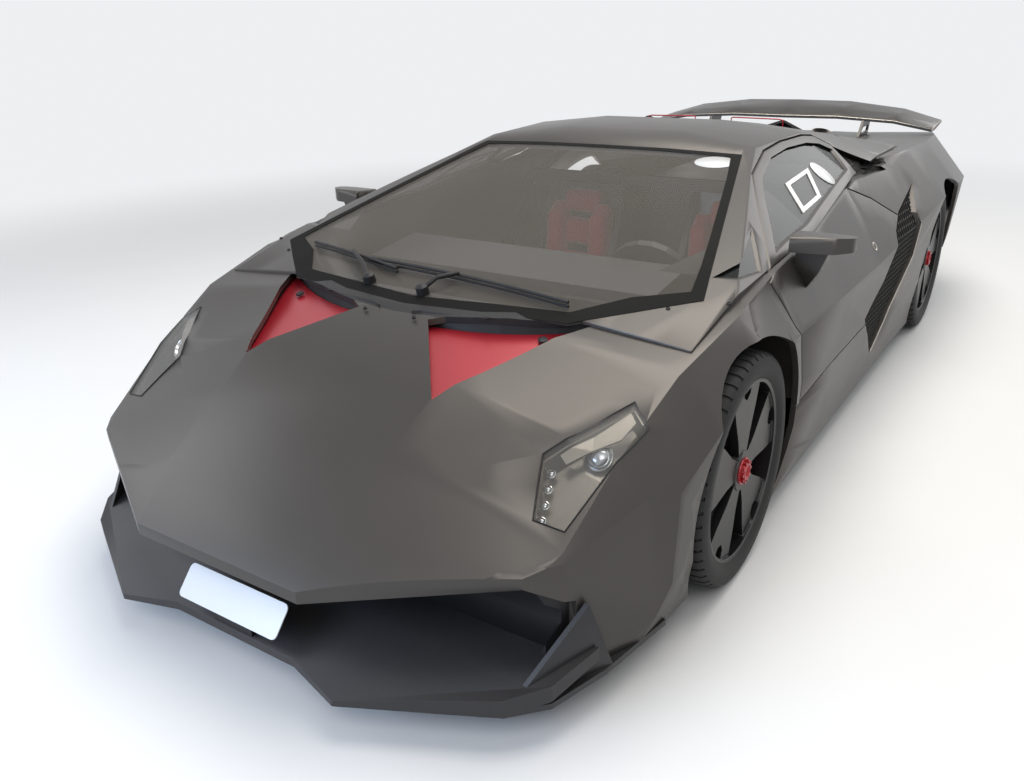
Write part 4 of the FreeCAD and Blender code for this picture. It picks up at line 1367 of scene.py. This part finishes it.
    def build_wiper(self, name: str, pivot: tuple[float, float], start: tuple[float, float],
                    end: tuple[float, float]) -> None:
        """Makes a parked wiper: arm, spine, rubber and the cap on its pivot.

        Args:
            name: The wiper's name.
            pivot: Its pivot, across and back from the front axle.
            start: The blade's one end, given the same way.
            end: The blade's other end.
        """
        middle = between(start, end, 0.5)
        stops = (pivot, between(pivot, middle, self.arm_elbow), middle)
        path = [self.on_glass(stop, lift) for stop, lift in zip(stops, self.arm_lifts)]
        arm = self.shop.tube(f"wiper_arm_{name}", path, self.arm_radius)
        self.shop.finish(arm, "chassis", "black_plastic")
        blade = [between(start, end, k / self.blade_steps) for k in range(self.blade_steps + 1)]
        for part, lift, radius in self.blade_parts:
            bar = self.shop.tube(f"wiper_{part}_{name}",
                                 [self.on_glass(place, lift) for place in blade], radius)
            self.shop.finish(bar, "chassis", "black_plastic")
        cap = self.shop.button(f"wiper_pivot_{name}", self.cap, path[0], self.cap_way,
                               self.cap_steps)
        self.shop.finish(cap, "chassis", "black_plastic")

    def build_ovals(self) -> None:
        """Makes the blank number ovals on the glass."""
        for name, body, centre, way, long, tall in self.ovals:
            oval = self.shop.turned(f"number_oval_{name}", self.oval, ORIGIN, self.oval_steps)
            for corner in oval.data.vertices:
                corner.co = (corner.co.x, corner.co.y * long, corner.co.z * tall)
            self.shop.aim(oval, centre, way)
            self.shop.finish(oval, body, "white_plate")


@dataclass
class DoorPanes:
    """The sliding pane's frame and the round catch of each door."""

    shop: Workshop
    corners: tuple = ((0.693, -0.251, 0.954), (0.693, 0.010, 0.969), (0.786, -0.120, 0.893),
                      (0.790, -0.345, 0.878))
    # how much shorter the opening is than the frame
    rims: float = 0.0396
    wall: float = 0.004
    catch: Point = (0.942, 0.118, 0.679)
    catch_way: Point = (0.86, -0.05, 0.51)
    dish: Section = ((-0.004, 0.0), (-0.004, 0.016), (0.001, 0.018), (0.002, 0.015),
                     (-0.001, 0.011), (-0.001, 0.0))
    dish_steps: int = 24

    def build(self) -> None:
        """Builds both doors' pieces."""
        for side, sign in SIDES:
            outer = [Vector(mirrored(corner, sign)) for corner in self.corners]
            middle = sum(outer, Vector()) / len(outer)
            share = 1.0 - self.rims / (outer[0] - outer[3]).length
            inner = [middle + (corner - middle) * share for corner in outer]
            rows = [[tuple(p) for p in (*ring, ring[0])] for ring in (outer, inner)]
            frame = self.shop.sheet(f"sliding_pane_{side}", rows, self.wall)
            self.shop.finish(frame, f"door_{side}", "clear_glass", "acrylic")
            dish = self.shop.button(f"door_catch_{side}", self.dish, mirrored(self.catch, sign),
                                    mirrored(self.catch_way, sign), self.dish_steps)
            # the round catch takes the pale painted edge-highlight colour whole
            self.shop.finish(dish, f"door_{side}", "black_plastic", "edge")


@dataclass
class Fasteners:
    """Small round fasteners on the clamshell and in the scoop."""

    shop: Workshop
    # place, normal, radius
    rows: tuple = (((0.090, -1.560, 0.759), (0.0, -0.30, 0.95), 0.006),
                   ((0.290, -1.500, 0.770), (0.0, -0.11, 0.99), 0.006),
                   ((0.713, -1.259, 0.792), (0.1, -0.24, 0.97), 0.006),
                   ((0.846, -1.169, 0.800), (0.11, -0.24, 0.96), 0.006),
                   ((0.452, -1.470, 0.7275), (0.07, -0.24, 0.97), 0.013))
    # the head's section, along its axis and out as a share of the radius
    head: Section = ((-0.003, 0.0), (-0.003, 1.0), (0.0015, 1.0), (0.0025, 0.75),
                     (0.0005, 0.6), (0.0005, 0.0))
    steps: int = 20

    def build(self) -> None:
        """Builds each fastener on both sides."""
        for number, (place, way, radius) in enumerate(self.rows):
            section = [(x, share * radius) for x, share in self.head]
            for side, sign in SIDES:
                piece = self.shop.button(f"fastener_{number}_{side}", section,
                                         mirrored(place, sign), mirrored(way, sign), self.steps)
                self.shop.finish(piece, "chassis", "black_plastic")


@dataclass
class Honeycomb:
    """Hexagon wire over the dark backing of the side slots, and a bead behind each slot."""

    shop: Workshop
    pitch: float = 0.030
    wire: float = 0.0035
    wire_lift: float = 0.003
    merge: float = 0.002
    # the most that a hexagon may reach across the car
    most_lean: float = 0.06
    # where rays start beside the car, and how far they go to the backing and to the body
    outside: float = 1.2
    backing_reach: float = 0.75
    body_reach: float = 0.5
    # name, lowest and highest y and z that it covers
    areas: tuple = (("slot", -0.02, 1.00, 0.16, 0.83), ("quarter", 0.20, 0.75, 0.84, 1.03))
    # the slot's rear edge, along and up, and how far beside it the bead lies
    rear_edge: Section = ((0.257, 0.212), (0.419, 0.357), (0.682, 0.516), (0.711, 0.690))
    bead_shift: tuple[float, float] = (0.006, -0.002)
    bead_steps: int = 8
    bead_radius: float = 0.0032

    def build(self) -> None:
        """Builds the wire and the beads of both sides."""
        backing = self.shop.tree("intake_meshes")
        for name, *reach in self.areas:
            for side, sign in SIDES:
                self.build_wire(f"honeycomb_{name}_{side}", sign, backing, reach)
        body = [self.shop.tree(node) for node in ("rear_clamshell", "side_skirts")]
        for side, sign in SIDES:
            self.build_bead(side, sign, body)

    def hit(self, tree: BVHTree, sign: int, y: float, z: float, reach: float) -> Vector | None:
        """Where a ray from beside the car meets a solid.

        Args:
            tree: The solid's faces.
            sign: 1 on the left and -1 on the right.
            y: The ray's place along the car.
            z: The ray's height.
            reach: The ray's length.

        Returns:
            The point, or None where the ray meets nothing.
        """
        start = Vector((sign * self.outside, y, z))
        return tree.ray_cast(start, Vector((-sign, 0, 0)), reach)[0]

    def build_bead(self, side: str, sign: int, body: list[BVHTree]) -> None:
        """Lays a bead in the pale painted edge-highlight colour along the slot's rear edge.

        Args:
            side: Left or right.
            sign: 1 on the left and -1 on the right.
            body: The faces of the panels behind the slot.
        """
        path = []
        for first, last in zip(self.rear_edge, self.rear_edge[1:]):
            for k in range(self.bead_steps):
                y, z = (a + b for a, b in zip(between(first, last, k / self.bead_steps),
                                              self.bead_shift))
                hits = [self.hit(tree, sign, y, z, self.body_reach) for tree in body]
                places = [abs(hit.x) for hit in hits if hit is not None]
                if places:
                    path.append((sign * max(places), y, z))
        bead = self.shop.tube(f"slot_bead_{side}", path, self.bead_radius)
        self.shop.finish(bead, "chassis", "matte_carbon", "edge")

    def cell(self, tree: BVHTree, sign: int, y: float, z: float) -> list[Vector]:
        """Drops a hexagon's corners onto the backing.

        Args:
            tree: The backing's faces.
            sign: 1 on the left and -1 on the right.
            y: The cell's middle along the car.
            z: The cell's height.

        Returns:
            Its corners, or none where it runs over the edge or leans too much.
        """
        corners = []
        for k in range(6):
            angle = math.tau * k / 6 + math.pi / 6
            place = self.hit(tree, sign, y + math.cos(angle) * self.pitch / 2,
                             z + math.sin(angle) * self.pitch / 2, self.backing_reach)
            if place is None:
                return []
            corners.append(place + Vector((sign * self.wire_lift, 0, 0)))
        depths = [corner.x for corner in corners]
        return corners if max(depths) - min(depths) < self.most_lean else []

    def build_wire(self, name: str, sign: int, tree: BVHTree, reach: list[float]) -> None:
        """Lays hexagons of wire on the backing.

        Args:
            name: The piece's name.
            sign: 1 on the left and -1 on the right.
            tree: The backing's faces.
            reach: The lowest and highest y, then z.
        """
        y_low, y_high, z_low, z_high = reach
        step_z, step_y = self.pitch * 0.75, self.pitch * math.sqrt(3) / 2
        shape = bmesh.new()
        for row in range(int((z_high - z_low) / step_z)):
            for column in range(int((y_high - y_low) / step_y)):
                corners = self.cell(tree, sign, y_low + (column + 0.5 * (row % 2)) * step_y,
                                    z_low + row * step_z)
                if corners:
                    shape.faces.new([shape.verts.new(corner) for corner in corners])
        bmesh.ops.remove_doubles(shape, verts=shape.verts[:], dist=self.merge)
        mesh = bpy.data.meshes.new(name)
        shape.to_mesh(mesh)
        shape.free()
        piece = put(name, mesh)
        wires = piece.modifiers.new("wire", "WIREFRAME")
        wires.thickness, wires.use_even_offset = self.wire, False
        self.shop.apply_modifiers(piece)
        self.shop.finish(piece, "chassis", "black_mesh", "wire")


@dataclass
class SeatPads:
    """Red suede pads in the seat shells, blown up by cloth simulation."""

    shop: Workshop
    middle: float = 0.350
    rounding: float = 0.012
    rounded: tuple[float, float] = (30, 180)
    rounding_steps: int = 3
    voxel: float = 0.007
    pressure: float = 4.0
    frames: int = 20
    # the furthest that the simulation may move a point
    cap: float = 0.012
    # the smoothing's strength and how often it is repeated
    evening: tuple[float, int] = (0.5, 6)
    fill: float = 0.7
    # name, half width, then the pad's side outline as y and z
    rows: tuple = (
        ("base", 0.125, ((-0.275, 0.250), (-0.275, 0.300), (-0.10, 0.305), (0.110, 0.300),
                         (0.130, 0.262))),
        ("lower_back", 0.118, ((0.118, 0.300), (0.155, 0.300), (0.196, 0.500), (0.160, 0.520))),
        ("upper_back", 0.118, ((0.150, 0.535), (0.200, 0.515), (0.230, 0.655), (0.180, 0.668))),
        ("head", 0.088, ((0.160, 0.690), (0.232, 0.682), (0.250, 0.774), (0.190, 0.782))),
    )
    # name, distance from the seat's middle, half width, side outline
    wings: tuple = (
        ("shoulder", 0.110, 0.036, ((0.085, 0.500), (0.190, 0.470), (0.235, 0.690),
                                    (0.180, 0.735), (0.105, 0.680))),
        ("hip", 0.122, 0.024, ((-0.250, 0.300), (0.100, 0.300), (0.130, 0.360),
                               (-0.180, 0.350))),
    )

    def build(self) -> None:
        """Builds the left seat's pads and copies them to the right seat."""
        pads = [self.build_pad(name, 0.0, half, outline) for name, half, outline in self.rows]
        pads += [self.build_pad(f"{name}_{label}", sign * across, half, outline)
                 for name, across, half, outline in self.wings
                 for label, sign in (("outer", 1), ("inner", -1))]
        for pad in pads:
            twin = put(pad.name.replace("_left", "_right"), pad.data.copy())
            twin.data.name = twin.name
            twin.data.transform(Matrix.Translation((-2 * self.middle, 0, 0)))
            for piece in (pad, twin):
                self.shop.finish(piece, "chassis", "red_fabric")
                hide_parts("seat_cushions")

    def build_pad(self, name: str, across: float, half: float,
                  outline: Section) -> bpy.types.Object:
        """Makes one pad and blows it up.

        Args:
            name: The pad's name.
            across: Its distance from the seat's middle.
            half: Half its width.
            outline: Its side outline, as y and z.

        Returns:
            The finished pad.
        """
        inner = self.middle + across - half
        pad = self.shop.plate(f"seat_pad_{name}_left", [(inner, y, z) for y, z in outline],
                              (2 * half, 0.0, 0.0))
        self.shop.round_edges(pad, self.rounded, self.rounding, self.rounding_steps)
        remesh = pad.modifiers.new("remesh", "REMESH")
        remesh.mode, remesh.voxel_size = "VOXEL", self.voxel
        self.shop.apply_modifiers(pad)
        self.blow_up(pad)
        smooth = pad.modifiers.new("even", "SMOOTH")
        smooth.factor, smooth.iterations = self.evening
        self.shop.apply_modifiers(pad)
        self.shop.make_active(pad)
        bpy.ops.object.shade_smooth()
        return pad

    def blow_up(self, pad: bpy.types.Object) -> None:
        """Lets a pad's cover swell as cloth, and keeps it near its first shape.

        Args:
            pad: The pad.
        """
        rest = [vertex.co.copy() for vertex in pad.data.vertices]
        cloth = pad.modifiers.new("cloth", "CLOTH").settings
        cloth.use_pressure = True
        cloth.uniform_pressure_force = self.pressure
        cloth.effector_weights.gravity = 0.0
        for frame in range(1, self.frames + 1):
            bpy.context.scene.frame_set(frame)
        self.shop.apply_modifiers(pad)
        bpy.context.scene.frame_set(1)
        for vertex, start in zip(pad.data.vertices, rest):
            move = vertex.co - start
            if move.length > self.cap:
                vertex.co = start + move.normalized() * self.cap


@dataclass
class NumberPlate:
    """The blank plate with round corners, on its bracket."""

    shop: Workshop
    half: float = 0.178
    low: Point = (0.0, -2.2560, 0.1695)
    high: Point = (0.0, -2.1960, 0.2355)
    corner: float = 0.014
    corner_steps: int = 4
    wall: float = 0.003
    bracket_half: float = 0.07
    # the bracket's side outline, as y and z
    foot: Section = ((-2.2390, 0.1260), (-2.2380, 0.1800), (-2.2180, 0.2010),
                     (-2.2250, 0.1260))

    def build(self) -> None:
        """Puts the plate and its bracket in place of the plain solid."""
        base, top = Vector(self.low), Vector(self.high)
        rise, tall = (top - base).normalized(), (top - base).length
        outline = []
        corners = ((self.half, tall), (-self.half, tall), (-self.half, 0.0), (self.half, 0.0))
        for quarter, (x, z) in enumerate(corners):
            centre_x = x - math.copysign(self.corner, x)
            centre_z = z - self.corner if z else self.corner
            for k in range(self.corner_steps + 1):
                angle = math.pi / 2 * (quarter + k / self.corner_steps)
                across = centre_x + self.corner * math.cos(angle)
                outline.append(tuple(base + Vector((across, 0, 0))
                                     + rise * (centre_z + self.corner * math.sin(angle))))
        normal = Vector((1, 0, 0)).cross(rise)
        plate = self.shop.plate("number_plate_blank", outline, tuple(normal * self.wall))
        self.shop.finish(plate, "chassis", "white_plate")
        bracket = self.shop.plate("number_plate_bracket",
                                  [(-self.bracket_half, y, z) for y, z in self.foot],
                                  (2 * self.bracket_half, 0, 0))
        self.shop.finish(bracket, "chassis", "black_plastic")
        for piece in (plate, bracket):
            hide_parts("number_plate")


@dataclass
class RedTrim:
    """Thin red edges round the mouths of the roof scoops."""

    shop: Workshop
    along: float = 0.8375
    radius: float = 0.003
    mouth: Section = ((0.336, 1.012), (0.336, 1.040), (0.318, 1.044), (0.100, 1.047),
                      (0.090, 1.043), (0.090, 1.020))

    def build(self) -> None:
        """Builds both edges."""
        for side, sign in SIDES:
            path = [(sign * x, self.along, z) for x, z in self.mouth]
            edge = self.shop.tube(f"scoop_edge_{side}", path, self.radius)
            self.shop.finish(edge, "chassis", "red_satin", "red_edge")


def main() -> None:
    """Builds the whole scene in order."""
    logging.basicConfig(level=logging.INFO, format="%(message)s")
    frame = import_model()
    PhotoCamera().build()
    Studio().build()
    shop = Workshop(frame, Palette(Effects()))
    for assembly in (PlainSolids, BodyPanels, Tyres, Wheels, Headlamps, Screen, DoorPanes,
                     Fasteners, Honeycomb, SeatPads, NumberPlate, RedTrim):
        assembly(shop).build()
        log.info("built %s", assembly.__name__)


if __name__ == "__main__":
    main()
